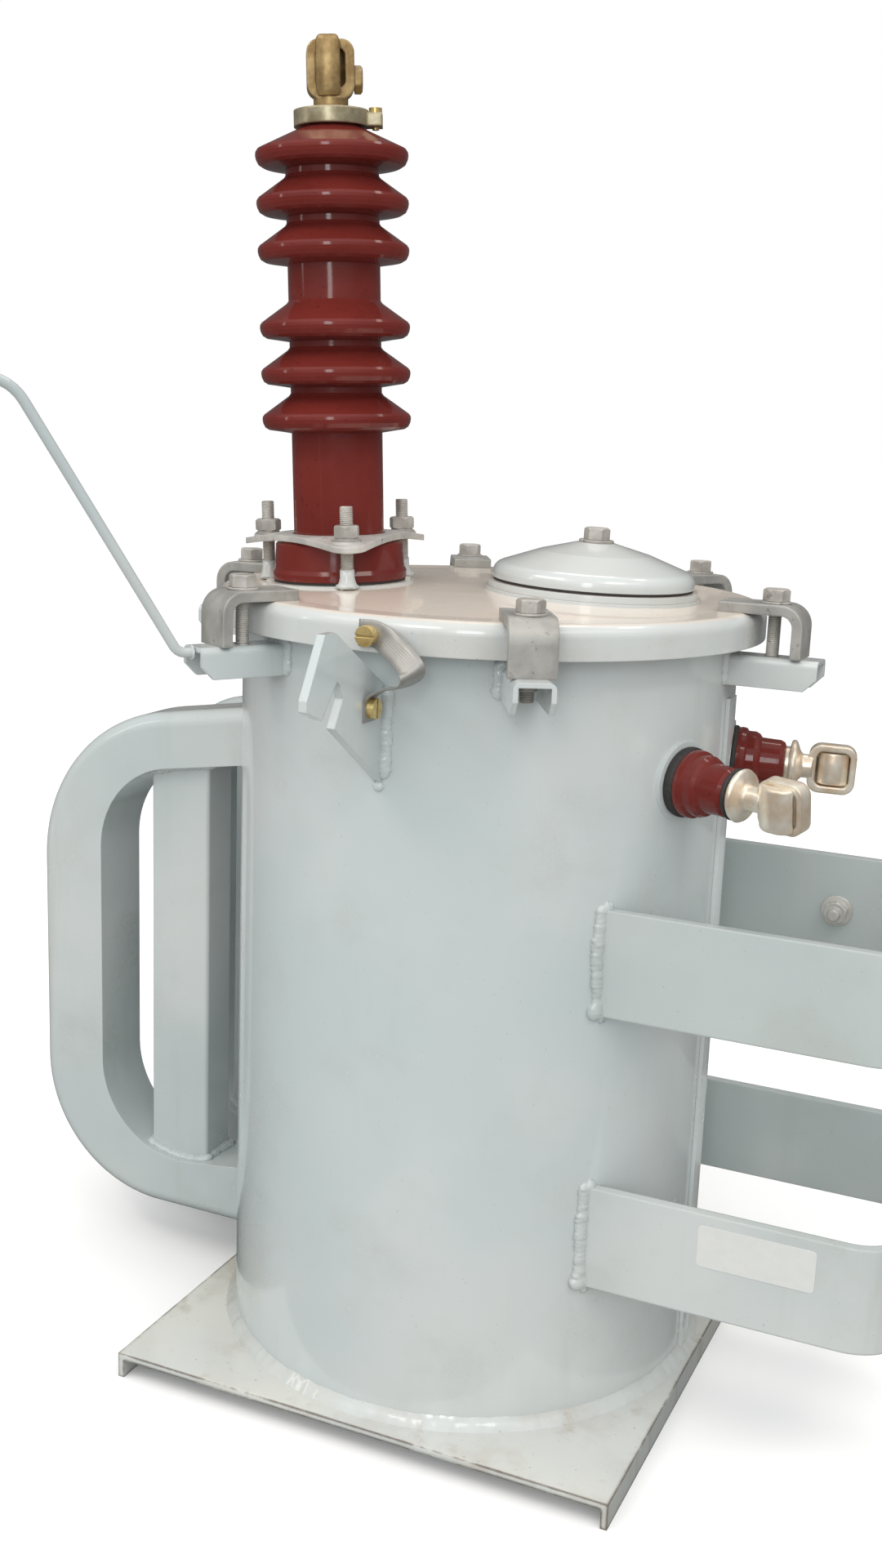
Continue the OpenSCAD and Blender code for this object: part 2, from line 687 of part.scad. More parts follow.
module lifting_lug(a) {
    z = lug_top - 18;
    color("gainsboro") rotate([0, 0, a]) translate([0, lug_plate_t / 2, 0]) rotate([90, 0, 0])
        linear_extrude(lug_plate_t) difference() {
            polygon([[tank_r, z - 67], [tank_r + 10, z - 60], [tank_r + 71, z - 19], [tank_r + 60, z - 1],
                [tank_r + 63, z + 8], [tank_r + 68, z + 11], [tank_r + 73, z + 7], [tank_r + 88, z - 11],
                [tank_r + 108, z - 3], [tank_r + 108, z + 4], [tank_r + 86, z + 43], [tank_r + 72, z + 43],
                [tank_r, z]]);
            translate([lug_hole_x, lug_hole_z]) circle(r = strap_screw_r + hole_play);
        }
}

module lifting_lug_front() { lifting_lug(-90); }
module lifting_lug_back() { lifting_lug(90); }

module strap_piece(p, q) {
    hull() {
        translate(p) cube([strap_t, strap_t, strap_w], center = true);
        translate(q) cube([strap_t, strap_t, strap_w], center = true);
    }
}

// flat ribbon from the lid's skirt, in a loop, to the lifting lug
module ground_strap() {
    x = lug_plate_t / 2 + strap_t / 2;
    y = -tank_r - 14;
    z = lug_hole_z;
    path = [[-8, -lid_r - strap_t / 2, strap_z], [8, -lid_r - strap_t / 2, strap_z],
        [28, y - 9, strap_z - 9], [39, y - 19, strap_z - 21], [35, y - 29, z + 14], [18, y - 28, z + 5],
        [x, y - 22, z], [x, y + 4, z]];
    color("silver") difference() {
        for (i = [0:len(path) - 2]) strap_piece(path[i], path[i + 1]);
        translate([0, 0, strap_z]) rotate([90, 0, 0]) cylinder(r = strap_screw_r, h = 2 * lid_r);
        translate([0, -lug_hole_x, z]) rotate([0, 90, 0]) cylinder(r = strap_screw_r, h = lug_plate_t);
    }
}

// slotted cheese head on a plain shank
module strap_screw(h, shank) {
    difference() {
        cylinder(r = 7, h = h);
        translate([-8, -0.8, h - 1.6]) cube([16, 1.6, 3]);
    }
    translate([0, 0, -shank]) cylinder(r = strap_screw_r, h = shank);
}

module strap_screw_lid() {
    color("goldenrod") translate([0, -lid_r - strap_t, strap_z]) rotate([90, 0, 0]) strap_screw(6, 4.9);
}

module strap_screw_lug() {
    color("goldenrod") translate([lug_plate_t / 2 + strap_t, -lug_hole_x, lug_hole_z]) rotate([0, 90, 0])
        strap_screw(5, 8);
}

// rounded outer part of the pressed tube's section, its outer face on x = 0
module outer_half() {
    translate([-half_t, -tube_w / 2]) square([half_t - tube_round, tube_w]);
    translate([-half_t, tube_round - tube_w / 2]) square([half_t, tube_w - 2 * tube_round]);
    for (s = [-1, 1]) translate([-tube_round, s * (tube_w / 2 - tube_round)]) circle(r = tube_round);
}

// side view of the D with its outer edge moved in, filled up to the tank axis
module tube_outline(inset) {
    r = high_bend - inset;
    end = high_c + (r - tangent) * [cos(high_turn), sin(high_turn)];
    translate(low_c) circle(r = low_bend - inset);
    translate(high_c) circle(r = r);
    polygon([[0, rad_low + inset], [low_c[0], rad_low + inset], low_c, [rad_reach - inset, low_c[1]],
        [rad_reach - inset, high_c[1]], high_c, end, [0, end[1] + end[0] * tan(arm_rise)]]);
}

// side view of the opening inside the D, larger by grow all round
module tube_window(grow) {
    low = window_low_c - (window_low + grow - tangent) * [sin(arm_taper), cos(arm_taper)];
    high = window_high_c + (window_high + grow - tangent) * [cos(high_turn), sin(high_turn)];
    translate(window_low_c) circle(r = window_low + grow);
    translate(window_high_c) circle(r = window_high + grow);
    polygon([[0, low[1] + low[0] * tan(arm_taper)], low, window_low_c, [leg_in + grow, window_low_c[1]],
        [leg_in + grow, window_high_c[1]], window_high_c, high, [0, high[1] + high[0] * tan(arm_rise)]]);
}

module upright(w) { rotate([90, 0, 0]) linear_extrude(w, center = true) children(); }

// outer half of the D, swept along the leg, both bends and both arms
module rounded_half() {
    translate([rad_reach, 0, low_c[1]]) linear_extrude(high_c[1] - low_c[1]) outer_half();
    translate([low_c[0], 0, low_c[1]]) rotate([90, 0, 0]) rotate([0, 0, -90])
        rotate_extrude(angle = 90) translate([low_bend, 0]) outer_half();
    translate([high_c[0], 0, high_c[1]]) rotate([90, 0, 0])
        rotate_extrude(angle = high_turn) translate([high_bend, 0]) outer_half();
    translate([tank_r - 20, 0, rad_low]) rotate([0, 90, 0])
        linear_extrude(low_c[0] - tank_r + 20) outer_half();
    translate([high_c[0], 0, high_c[1]]) rotate([0, -high_turn, 0]) translate([high_bend, 0, 0])
        linear_extrude(high_c[0] - tank_r + 50) outer_half();
}

// side view of the flat inner half, its outer edge in chords inside the rounded half
module flat_half() {
    side = rad_reach - half_lap;
    low_r = low_bend - half_lap;
    high_r = high_bend - half_lap;
    last = high_c + high_r * [cos(high_turn - 3), sin(high_turn - 3)];
    difference() {
        polygon([[0, low_c[1] - low_r], [low_c[0] + 3, low_c[1] - low_r],
            low_c + low_r * [cos(45), -sin(45)], [side, low_c[1] - 3], [side, high_c[1] + 3],
            high_c + high_r * [cos(40), sin(40)], last, [0, last[1] + last[0] * tan(arm_rise)]]);
        tube_window(0);
    }
}

// one D shaped radiator tube standing in the XZ plane
module d_tube() {
    difference() {
        union() {
            difference() {
                rounded_half();
                cylinder(r = tank_r, h = rim_z);
            }
            difference() {
                upright(tube_w) flat_half();
                cylinder(r = tank_r, h = rim_z);
            }
        }
        upright(tube_w - 2 * tube_wall) difference() {
            tube_outline(tube_round);
            tube_window(tube_wall);
        }
        upright(tube_w - 2 * tube_round) difference() {
            tube_outline(tube_wall);
            tube_window(2 * tube_wall);
        }
    }
}

module riser() {
    intersection() {
        translate([riser_x + riser_a / 2, 0, rad_low]) linear_extrude(rad_high)
            tube_section(riser_a, riser_b, riser_round);
        upright(tube_w) tube_window(0);
    }
}

module radiator_1() { color("gainsboro") rotate([0, 0, rad_first]) d_tube(); }
module radiator_2() { color("gainsboro") rotate([0, 0, rad_first - rad_step]) d_tube(); }
module radiator_3() { color("gainsboro") rotate([0, 0, rad_first - 2 * rad_step]) d_tube(); }
module riser_1() { color("lightgray") rotate([0, 0, rad_first]) riser(); }
module riser_2() { color("lightgray") rotate([0, 0, rad_first - rad_step]) riser(); }
module riser_3() { color("lightgray") rotate([0, 0, rad_first - 2 * rad_step]) riser(); }

// stations of the bent rod in its own upright plane: reach, height, slope
function rod_line() = let (z = lug_top - 4, up = 57, r1 = 10, r2 = 30, rise = 190, x0 = lug_end + 6,
        x1 = x0 + r1 * sin(up), z1 = z + r1 * (1 - cos(up)), x2 = x1 + rise * cos(up),
        z2 = z1 + rise * sin(up), cx = x2 + r2 * sin(up), cz = z2 - r2 * cos(up))
    concat([[lug_end, z, 0]],
        [for (i = [0:5]) let (a = up * i / 5) [x0 + r1 * sin(a), z + r1 * (1 - cos(a)), a]],
        [for (i = [0:5]) let (a = up - (up - 10) * i / 5) [cx - r2 * sin(a), cz + r2 * cos(a), a]],
        [[cx - r2 * sin(10) + 70 * cos(10), cz + r2 * cos(10) + 70 * sin(10), 10]]);

module guard_rod() {
    n = 16;
    r = rod_d / 2;
    line = rod_line();
    last = len(line) - 1;
    rings = [for (s = line, j = [0:n - 1]) let (b = 360 * j / n)
        [s[0] - r * cos(b) * sin(s[2]), r * sin(b), s[1] + r * cos(b) * cos(s[2])]];
    sides = [for (i = [0:last - 1], j = [0:n - 1]) let (k = (j + 1) % n)
        [i * n + j, i * n + k, (i + 1) * n + k, (i + 1) * n + j]];
    color("gainsboro") rotate([0, 0, 240]) polyhedron(rings,
        concat(sides, [[for (j = [0:n - 1]) n - 1 - j]], [[for (j = [0:n - 1]) last * n + j]]));
}

base_plate();
tank_wall();
tank_bottom();
tank_rim();
seam_strip();
lid_gasket();
lid();
clamp_lugs();
lid_clamps();
clamp_bolts();
handhole_neck();
handhole_gasket();
handhole_cover();
handhole_bar();
handhole_bolt();
hv_gasket();
hv_bushing();
hv_clamp_plate();
hv_studs();
hv_cap();
hv_cap_screw();
hv_terminal();
hv_jaw();
lv_gaskets();
lv_bushing_1();
lv_bushing_2();
lv_terminal_1();
lv_terminal_2();
lv_jaw_1();
lv_jaw_2();
bracket_upper();
bracket_lower();
bracket_stud();
lifting_lug_front();
lifting_lug_back();
ground_strap();
strap_screw_lid();
strap_screw_lug();
radiator_1();
radiator_2();
radiator_3();
riser_1();
riser_2();
riser_3();
guard_rod();
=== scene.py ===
import math
import random

import bmesh
import bpy
from mathutils import Matrix, Vector, noise


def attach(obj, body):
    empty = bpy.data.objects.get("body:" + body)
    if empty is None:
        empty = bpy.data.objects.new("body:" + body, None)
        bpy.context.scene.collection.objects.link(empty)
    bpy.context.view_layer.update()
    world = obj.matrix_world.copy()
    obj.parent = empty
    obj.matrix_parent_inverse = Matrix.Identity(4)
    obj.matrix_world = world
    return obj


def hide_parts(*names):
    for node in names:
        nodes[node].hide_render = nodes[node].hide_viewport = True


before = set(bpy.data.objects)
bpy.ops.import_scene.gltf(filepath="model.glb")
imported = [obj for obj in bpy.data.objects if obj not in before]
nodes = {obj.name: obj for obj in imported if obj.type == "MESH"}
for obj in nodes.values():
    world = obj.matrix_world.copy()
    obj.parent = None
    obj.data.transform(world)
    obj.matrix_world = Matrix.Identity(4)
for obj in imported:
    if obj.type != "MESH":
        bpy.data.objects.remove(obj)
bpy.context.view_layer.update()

# Base plate
# One sheet of 5 mm steel with both sides folded down into feet, under the same grey enamel.
# It has been dragged about a yard: its edges are chipped and its folds hold brown dirt.


class Shader:
    """A material's node tree with short calls to add and join nodes."""

    def __init__(self, tree):
        self.tree = tree
        self.nodes = tree.nodes
        self.links = tree.links

    def add(self, kind, inputs=None, **settings):
        node = self.nodes.new(kind)
        for key, value in settings.items():
            setattr(node, key, value)
        for key, value in (inputs or {}).items():
            self.feed(node.inputs[key], value)
        return node

    def feed(self, socket, value):
        if isinstance(value, bpy.types.NodeSocket):
            self.links.new(value, socket)
        else:
            socket.default_value = value

    def math(self, operation, a, b=0.0, clamp=False):
        return self.add("ShaderNodeMath", {0: a, 1: b}, operation=operation, use_clamp=clamp).outputs[0]

    def spread(self, value, span, least):
        """A mask from 0 to 1 stretched over span, with least added to it."""
        return self.math("ADD", self.math("MULTIPLY", value, span), least)

    def where(self, stretch=None):
        spot = self.add("ShaderNodeTexCoord").outputs["Object"]
        if stretch:
            spot = self.add("ShaderNodeMapping", {"Vector": spot, "Scale": stretch}).outputs[0]
        return spot

    def noise(self, scale, detail=2.0, rough=0.5, stretch=None):
        node = self.add("ShaderNodeTexNoise", {"Vector": self.where(stretch), "Scale": scale,
                                               "Detail": detail, "Roughness": rough})
        return node.outputs["Fac"]

    def step(self, value, low, high):
        return self.add("ShaderNodeMapRange", {"Value": value, "From Min": low, "From Max": high},
                        interpolation_type="SMOOTHSTEP").outputs[0]

    def mix(self, factor, a, b):
        node = self.add("ShaderNodeMix", data_type="RGBA")
        for index, value in ((0, factor), (6, a), (7, b)):
            self.feed(node.inputs[index], value)
        return node.outputs[2]


def effect(name, inputs, outputs):
    """A node group with plain number, colour and vector sockets."""
    kinds = {"f": "NodeSocketFloat", "c": "NodeSocketColor", "v": "NodeSocketVector"}
    group = bpy.data.node_groups.new(name, "ShaderNodeTree")
    for label, kind in inputs:
        group.interface.new_socket(label, in_out="INPUT", socket_type=kinds[kind])
    for label, kind in outputs:
        group.interface.new_socket(label, in_out="OUTPUT", socket_type=kinds[kind])
    make = Shader(group)
    return group, make, make.add("NodeGroupInput").outputs, make.add("NodeGroupOutput").inputs


def soft_edges():
    """Corners rounded by rolling, casting or thick paint, and a mask that marks them."""
    group, make, given, out = effect("soft_edges", [("Radius", "f")], [("Normal", "v"), ("Edge", "f")])
    rounded = make.add("ShaderNodeBevel", {"Radius": given["Radius"]}, samples=6).outputs[0]
    flat = make.add("ShaderNodeNewGeometry").outputs["Normal"]
    likeness = make.add("ShaderNodeVectorMath", {0: rounded, 1: flat}, operation="DOT_PRODUCT")
    make.feed(out["Normal"], rounded)
    make.feed(out["Edge"], make.step(likeness.outputs["Value"], 0.99, 0.80))
    return group


def uneven_enamel():
    """Sprayed enamel: drifting tone, streaks and specks of dirt, dust and a painted warm reflection on
    top, painted highlights and chips on its edges.
    """
    group, make, given, out = effect(
        "uneven_enamel",
        [("Paint", "c"), ("Soil", "c"), ("Soiling", "f"), ("Edge", "f"), ("Wear", "f"), ("Dust and reflection", "f")],
        [("Color", "c"), ("Roughness", "f"), ("Height", "f")])
    drift = make.noise(4.0, 3.0)
    smudge = make.step(make.noise(11.0, 9.0, 0.62), 0.47, 0.75)
    streak = make.step(make.noise(26.0, 6.0, 0.6, (1.0, 1.0, 0.10)), 0.54, 0.76)
    speck = make.step(make.noise(380.0, 3.0, 0.5), 0.70, 0.75)
    facing = make.add("ShaderNodeNewGeometry").outputs["Normal"]
    upward = make.add("ShaderNodeSeparateXYZ", {0: facing}).outputs[2]
    patchy = make.spread(make.noise(9.0, 7.0, 0.6), 0.9, 0.42)
    # dust settled on upward faces together with a painted warm reflection of the light from above: the
    # top is mixed toward a warm pale tone
    top_dust_and_reflection = make.math("MULTIPLY", make.step(upward, 0.80, 0.99), patchy)
    dust_and_reflection_film = make.math("MULTIPLY", top_dust_and_reflection, given["Dust and reflection"])
    drifted = make.mix(make.step(drift, 0.35, 0.65), given["Paint"], (0.53, 0.56, 0.555, 1))
    # painted highlight: rounded edges are lightened toward pale grey as if they caught the light
    thick = make.mix(make.math("MULTIPLY", given["Edge"], 0.30), drifted, (0.76, 0.79, 0.78, 1))
    tone = make.mix(dust_and_reflection_film, thick, (0.80, 0.670, 0.550, 1))
    dirt = make.math("MAXIMUM", smudge, streak)
    soiled = make.mix(make.math("MULTIPLY", dirt, given["Soiling"], clamp=True), tone, given["Soil"])
    specks = make.math("MULTIPLY", speck, given["Soiling"], clamp=True)
    speckled = make.mix(specks, soiled, (0.12, 0.10, 0.08, 1))
    ragged = make.spread(make.noise(95.0, 5.0, 0.65), 1.6, -0.35)
    dashes = make.math("ADD", make.step(make.noise(17.0, 3.0), 0.40, 0.56), 0.45)
    chips = make.math("MULTIPLY", make.math("MULTIPLY", given["Edge"], ragged), dashes)
    chipping = make.math("MULTIPLY", chips, given["Wear"])
    worn = make.mix(make.step(chipping, 0.25, 0.42), speckled, (0.34, 0.29, 0.22, 1))
    bare = make.mix(make.step(chipping, 0.40, 0.55), worn, (0.085, 0.055, 0.035, 1))
    rough = make.spread(smudge, 0.14, 0.20)
    rougher = make.math("ADD", rough, make.math("MULTIPLY", chipping, 0.35), clamp=True)
    peel = make.math("MULTIPLY", make.noise(240.0, 2.0), 0.06)
    make.feed(out["Color"], bare)
    make.feed(out["Roughness"], rougher)
    make.feed(out["Height"], make.math("ADD", peel, make.noise(8.0, 2.0)))
    return group


soft_edges_group = soft_edges()
uneven_enamel_group = uneven_enamel()


def new_material(name):
    material = bpy.data.materials.new(name)
    material.use_nodes = True
    make = Shader(material.node_tree)
    return material, make, make.nodes["Principled BSDF"].inputs


def edges_of(make, radius):
    """The rounded normal and the edge mask for one material."""
    edges = make.add("ShaderNodeGroup", {}, node_tree=soft_edges_group)
    edges.inputs["Radius"].default_value = radius
    return edges.outputs["Normal"], edges.outputs["Edge"]


def relief(make, skin, height, strength, depth, normal=None):
    """Fine unevenness of a surface, on top of its rounded edges where it has them."""
    bump = make.add("ShaderNodeBump", {"Height": height, "Strength": strength, "Distance": depth})
    if normal is not None:
        make.feed(bump.inputs["Normal"], normal)
    make.feed(skin["Normal"], bump.outputs[0])


def enamel(name, paint, soil, soiling, wear, corner=0.0012, dust_and_reflection=0.15):
    """Gloss enamel sprayed over primer and steel."""
    material, make, skin = new_material(name)
    normal, edge = edges_of(make, corner)
    coat = make.add("ShaderNodeGroup", node_tree=uneven_enamel_group)
    for label, value in (("Paint", (*paint, 1)), ("Soil", (*soil, 1)), ("Soiling", soiling),
                         ("Edge", edge), ("Wear", wear), ("Dust and reflection", dust_and_reflection)):
        make.feed(coat.inputs[label], value)
    make.feed(skin["Base Color"], coat.outputs["Color"])
    make.feed(skin["Roughness"], coat.outputs["Roughness"])
    relief(make, skin, coat.outputs["Height"], 0.22, 0.002, normal)
    skin["Coat Weight"].default_value = 0.55
    skin["Coat Roughness"].default_value = 0.06
    return material


def dress(material, *names):
    """One material on the named solids."""
    for name in names:
        node = nodes[name]
        node.data.materials.clear()
        node.data.materials.append(material)


base_enamel = enamel("base_enamel", (0.60, 0.61, 0.565), (0.32, 0.26, 0.18), 0.58, 1.7,
                     corner=0.0045, dust_and_reflection=0.10)
dress(base_enamel, "base_plate")

# Tank
# Rolled 3 mm sheet with one lap seam, a disc let in as its bottom and a flat rim for the
# gasket. It stands on the base plate in one heavy run of weld, sprayed over with the rest.
TANK_RADIUS = 0.190
FLOOR_TOP = 0.020
tank_enamel = enamel("tank_enamel", (0.455, 0.515, 0.52), (0.36, 0.35, 0.31), 0.22, 0.30, dust_and_reflection=0.05)
# the seam strip's paint is much lighter than the tank's: a painted highlight along its edge
seam_highlight_enamel = enamel("seam_highlight_enamel", (0.76, 0.80, 0.795), (0.36, 0.35, 0.31), 0.0, 0.0,
                     corner=0.0004, dust_and_reflection=0.0)
dress(tank_enamel, "tank_wall", "tank_bottom", "tank_rim")
dress(seam_highlight_enamel, "seam_strip")


def piece(name, mesh, material, slot, *stands_for):
    """A finished mesh as one piece of the object, fixed to the tank."""
    data = bpy.data.meshes.new(name)
    bmesh.ops.recalc_face_normals(mesh, faces=mesh.faces[:])
    mesh.to_mesh(data)
    mesh.free()
    data.materials.append(material)
    thing = bpy.data.objects.new(name, data)
    bpy.context.scene.collection.objects.link(thing)
    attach(thing, "root")
    if stands_for:
        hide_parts(*stands_for)


def skin_over(mesh, rings, closed=False, smooth=True):
    """Faces between neighbouring rings of points, with the two ends capped."""
    made = [[mesh.verts.new(point) for point in ring] for ring in rings]
    count = len(made[0])
    spans = len(made) if closed else len(made) - 1
    for i in range(spans):
        lower, upper = made[i], made[(i + 1) % len(made)]
        for j in range(count):
            k = (j + 1) % count
            mesh.faces.new((lower[j], lower[k], upper[k], upper[j])).smooth = smooth
    if not closed:
        for ring in (made[0][::-1], made[-1]):
            mesh.faces.new(ring)


def evenly(path, spacing, closed):
    """Points at even distances along a path of straight pieces."""
    corners = path + [path[0]] if closed else path
    lengths = [(b - a).length for a, b in zip(corners, corners[1:])]
    total = sum(lengths)
    count = max(3, round(total / spacing))
    points, index, passed = [], 0, 0.0
    for i in range(count if closed else count + 1):
        reach = total * i / count
        while index < len(lengths) - 1 and passed + lengths[index] < reach:
            passed += lengths[index]
            index += 1
        share = (reach - passed) / lengths[index] if lengths[index] else 0.0
        points.append(corners[index].lerp(corners[index + 1], min(share, 1.0)))
    return points, total


def around(count):
    """Cosine and sine at even steps round a circle."""
    return [(math.cos(a), math.sin(a)) for a in (2 * math.pi * i / count for i in range(count))]


WELD_SIDES = around(12)
PUDDLE_LENGTH = 0.62
RINGS_PER_PUDDLE = 3.2
WELD_HEIGHT = 0.66


def weld(mesh, path, facing, radius, closed=False, blob=0.0, ragged=0.30):
    """A run of weld: a flattened rope of overlapping puddles, with a blob where it was broken off.

    It faces one direction, or the direction that a function gives for each point of its path.
    """
    puddle = radius * PUDDLE_LENGTH
    spacing = puddle / RINGS_PER_PUDDLE
    points, total = evenly(path, spacing, closed)
    count = len(points)
    rings = []
    for i, point in enumerate(points):
        before = points[(i - 1) % count] if closed else points[max(i - 1, 0)]
        after = points[(i + 1) % count] if closed else points[min(i + 1, count - 1)]
        along = (after - before).normalized()
        front = facing(point) if callable(facing) else facing
        side = along.cross(front).normalized()
        rise = side.cross(along)
        reach = total * i / count
        wave = abs(math.sin(math.pi * reach / puddle))
        slow = noise.noise(point * 60.0) + 0.8 * noise.noise(point * 210.0)
        size = radius * (0.92 + ragged * (wave / 3 + 0.6 * slow))
        if not closed:
            size *= 1 + blob * math.exp(-((total - reach) / radius - 1.6) ** 2)
            from_end = min(i, count - 1 - i) * spacing / radius
            size *= math.sqrt(max(0.02, min(1.0, 1.4 * from_end)))
        drift = radius * ragged * 4 / 3 * noise.noise(point * 45.0 + Vector((7.0, 3.0, 1.0)))
        ring = []
        for across, up in WELD_SIDES:
            spot = point + side * (size * across + drift) + rise * (WELD_HEIGHT * size * up)
            ring.append(spot + (spot - point) * ragged * noise.noise(spot * 420.0))
        rings.append(ring)
    skin_over(mesh, rings, closed)


UP = Vector((0, 0, 1))


def out_of_corner(point):
    """The way a fillet faces in the corner between the tank wall and the base plate."""
    return (Vector((point.x, point.y, 0)).normalized() + UP).normalized()


FILLET_DEPTH = 0.0022
FILLET_RADIUS = 0.0155
foot_reach, foot_height = TANK_RADIUS - FILLET_DEPTH, FLOOR_TOP - FILLET_DEPTH
foot_path = [Vector((foot_reach * c, foot_reach * s, foot_height)) for c, s in around(180)]
foot_weld = bmesh.new()
weld(foot_weld, foot_path, out_of_corner, FILLET_RADIUS, closed=True, ragged=0.08)
# its hidden back stays within the two sheets that it joins
for vert in foot_weld.verts:
    vert.co.z = max(vert.co.z, FLOOR_TOP - 0.003)
    vert.co.xy *= max(1.0, (TANK_RADIUS - 0.0015) / vert.co.xy.length)
weld_enamel = enamel("weld_enamel", (0.49, 0.505, 0.47), (0.32, 0.26, 0.18), 0.60, 0.30, dust_and_reflection=0.0)
piece("tank_foot_weld", foot_weld, weld_enamel, "enamel_tank")

# Radiators
# Three D shaped tubes pressed from 2 mm sheet, each with a straight riser tube inside it.
# Oil runs through them; all ends are welded round by hand and sprayed with the tank.
RADIATOR_TURNS = [180, 158, 136]
TUBE_HALF_WIDTH = 0.029
TUBE_CORNER = 0.012
# lowest and highest edge of each arm at the tank, and which of them is the rounded one
ARMS_AT_TANK = [(0.045, 0.1012, -1), (0.4602, 0.5080, 1)]
RISER_MIDDLE = 0.2705
RISER_HALF = (0.0285, 0.019)
RISER_CORNER = 0.003
# the D's inner edge: centre and radius of its bend, where the bend ends and the arm's slope
WINDOW_LOW = (0.265, 0.172, 0.080, 0.25456, 7.5)
WINDOW_HIGH = (0.267, 0.369, 0.078, 0.2792, 9.0)
ARM_BEAD = 0.0036
RISER_BEAD = 0.0056
radiator_enamel = enamel("radiator_enamel", (0.43, 0.485, 0.485), (0.34, 0.33, 0.29), 0.26, 0.30,
                         dust_and_reflection=0.10)
dress(radiator_enamel, "radiator_1", "radiator_2", "radiator_3", "riser_1", "riser_2", "riser_3")


def turned(points, degrees):
    """Points turned round the tank's axis."""
    rotation = Matrix.Rotation(math.radians(degrees), 3, "Z")
    return [rotation @ point for point in points]


def outward(degrees):
    """The direction straight out from the tank at one place round it."""
    return turned([Vector((1, 0, 0))], degrees)[0]


# the four corners of a section, with the angle at which the quarter round of each begins
CORNERS = ((1, 1, 0), (-1, 1, 90), (-1, -1, 180), (1, -1, 270))


def arm_outline(low, high, rounded):
    """Where a radiator arm meets the round tank wall: square inside, rounded outside."""
    outline = []
    for side_y, side_z, start in CORNERS:
        z = high if side_z > 0 else low
        if side_z == rounded:
            cy, cz = side_y * (TUBE_HALF_WIDTH - TUBE_CORNER), z - side_z * TUBE_CORNER
            for i in range(7):
                a = math.radians(start + 15 * i)
                outline.append((cy + TUBE_CORNER * math.cos(a), cz + TUBE_CORNER * math.sin(a)))
        else:
            outline.append((side_y * TUBE_HALF_WIDTH, z))
    return [Vector((math.sqrt(TANK_RADIUS ** 2 - y * y) + 0.0005, y, z)) for y, z in outline]


def window_edge(x, window, side):
    """Height of the inner edge of the D tube over one distance from the axis."""
    cx, cz, radius, last, slope = window
    if side * (x - last) < 0 and x < last:
        end = cz + side * math.sqrt(radius ** 2 - (last - cx) ** 2)
        return end + (last - x) * math.tan(math.radians(slope))
    return cz + side * math.sqrt(radius ** 2 - (x - cx) ** 2)


def rounded_oblong(halves, corner, parts):
    """Outline of an oblong, with each of its rounded corners in so many parts."""
    outline = []
    for side_a, side_b, start in CORNERS:
        for i in range(parts + 1):
            a = math.radians(start + 90 * i / parts)
            outline.append((side_a * (halves[0] - corner) + corner * math.cos(a),
                            side_b * (halves[1] - corner) + corner * math.sin(a)))
    return outline


def riser_outline(window, side):
    """Where the straight riser meets the D's inner edge."""
    outline = [(RISER_MIDDLE + x, y) for x, y in rounded_oblong(RISER_HALF, RISER_CORNER, 3)]
    dense = []
    for (x0, y0), (x1, y1) in zip(outline, outline[1:] + outline[:1]):
        dense += [(x0 + (x1 - x0) * i / 6, y0 + (y1 - y0) * i / 6) for i in range(6)]
    return [Vector((x, y, window_edge(x, window, side))) for x, y in dense]


for number, degrees in enumerate(RADIATOR_TURNS, 1):
    seams = bmesh.new()
    for low, high, rounded in ARMS_AT_TANK:
        path = turned(arm_outline(low, high, rounded), degrees)
        weld(seams, path, outward(degrees), ARM_BEAD, closed=True)
    for window, side in ((WINDOW_LOW, -1), (WINDOW_HIGH, 1)):
        weld(seams, turned(riser_outline(window, side), degrees), UP, RISER_BEAD, closed=True)
    piece("radiator_%d_welds" % number, seams, radiator_enamel, "enamel_radiator")

# Pole hoops
# Two loops of 78 x 8 mm flat bar, bent hot and welded to the tank with short heavy runs.
# A pole band is bolted to their closed ends; a stud on the far arm takes the earth wire.
HOOP_HALF_WIDTH = 0.1245
BAR_THICK = 0.008
BAR_HALF_HEIGHT = 0.039
HOOP_HEIGHTS = (0.376, 0.167)
OUTER_BEAD = 0.0054
INNER_BEAD = 0.0040
EDGE_BEAD = 0.0046
hoop_enamel = enamel("hoop_enamel", (0.43, 0.48, 0.473), (0.34, 0.32, 0.27), 0.24, 0.35,
                     corner=0.0022, dust_and_reflection=0.0)
dress(hoop_enamel, "bracket_upper", "bracket_lower")


def on_wall(y, z):
    """The point of the tank wall on its +X side that lies over y at one height."""
    return Vector((math.sqrt(TANK_RADIUS ** 2 - y * y), y, z))


hoop_welds = bmesh.new()
for height in HOOP_HEIGHTS:
    low, high = height - BAR_HALF_HEIGHT, height + BAR_HALF_HEIGHT
    for hand in (-1, 1):
        outer = hand * HOOP_HALF_WIDTH
        inner = hand * (HOOP_HALF_WIDTH - BAR_THICK)
        out = Vector((TANK_RADIUS, outer, 0)).normalized()
        weld(hoop_welds, [on_wall(outer, high + 0.004), on_wall(outer, low - 0.004)], out, OUTER_BEAD,
             blob=0.35)
        weld(hoop_welds, [on_wall(inner, low), on_wall(inner, high)], out, INNER_BEAD, blob=0.3)
        for z in (low, high):
            weld(hoop_welds, [on_wall(outer, z), on_wall(inner, z)], out, EDGE_BEAD, blob=0.3)
piece("hoop_welds", hoop_welds, hoop_enamel, "enamel_tank")

# Lid clamp lugs, lifting lugs and guard rod
# Six short pressed channels carry the lid clamps and two burnt hook plates the slings. A bent
# rod leans out from one lug as an arcing guard. All are welded to the finished tank.
LUG_TOP = 0.5855
LUG_HEIGHT = 0.022
LUG_HALF_WIDTH = 0.014
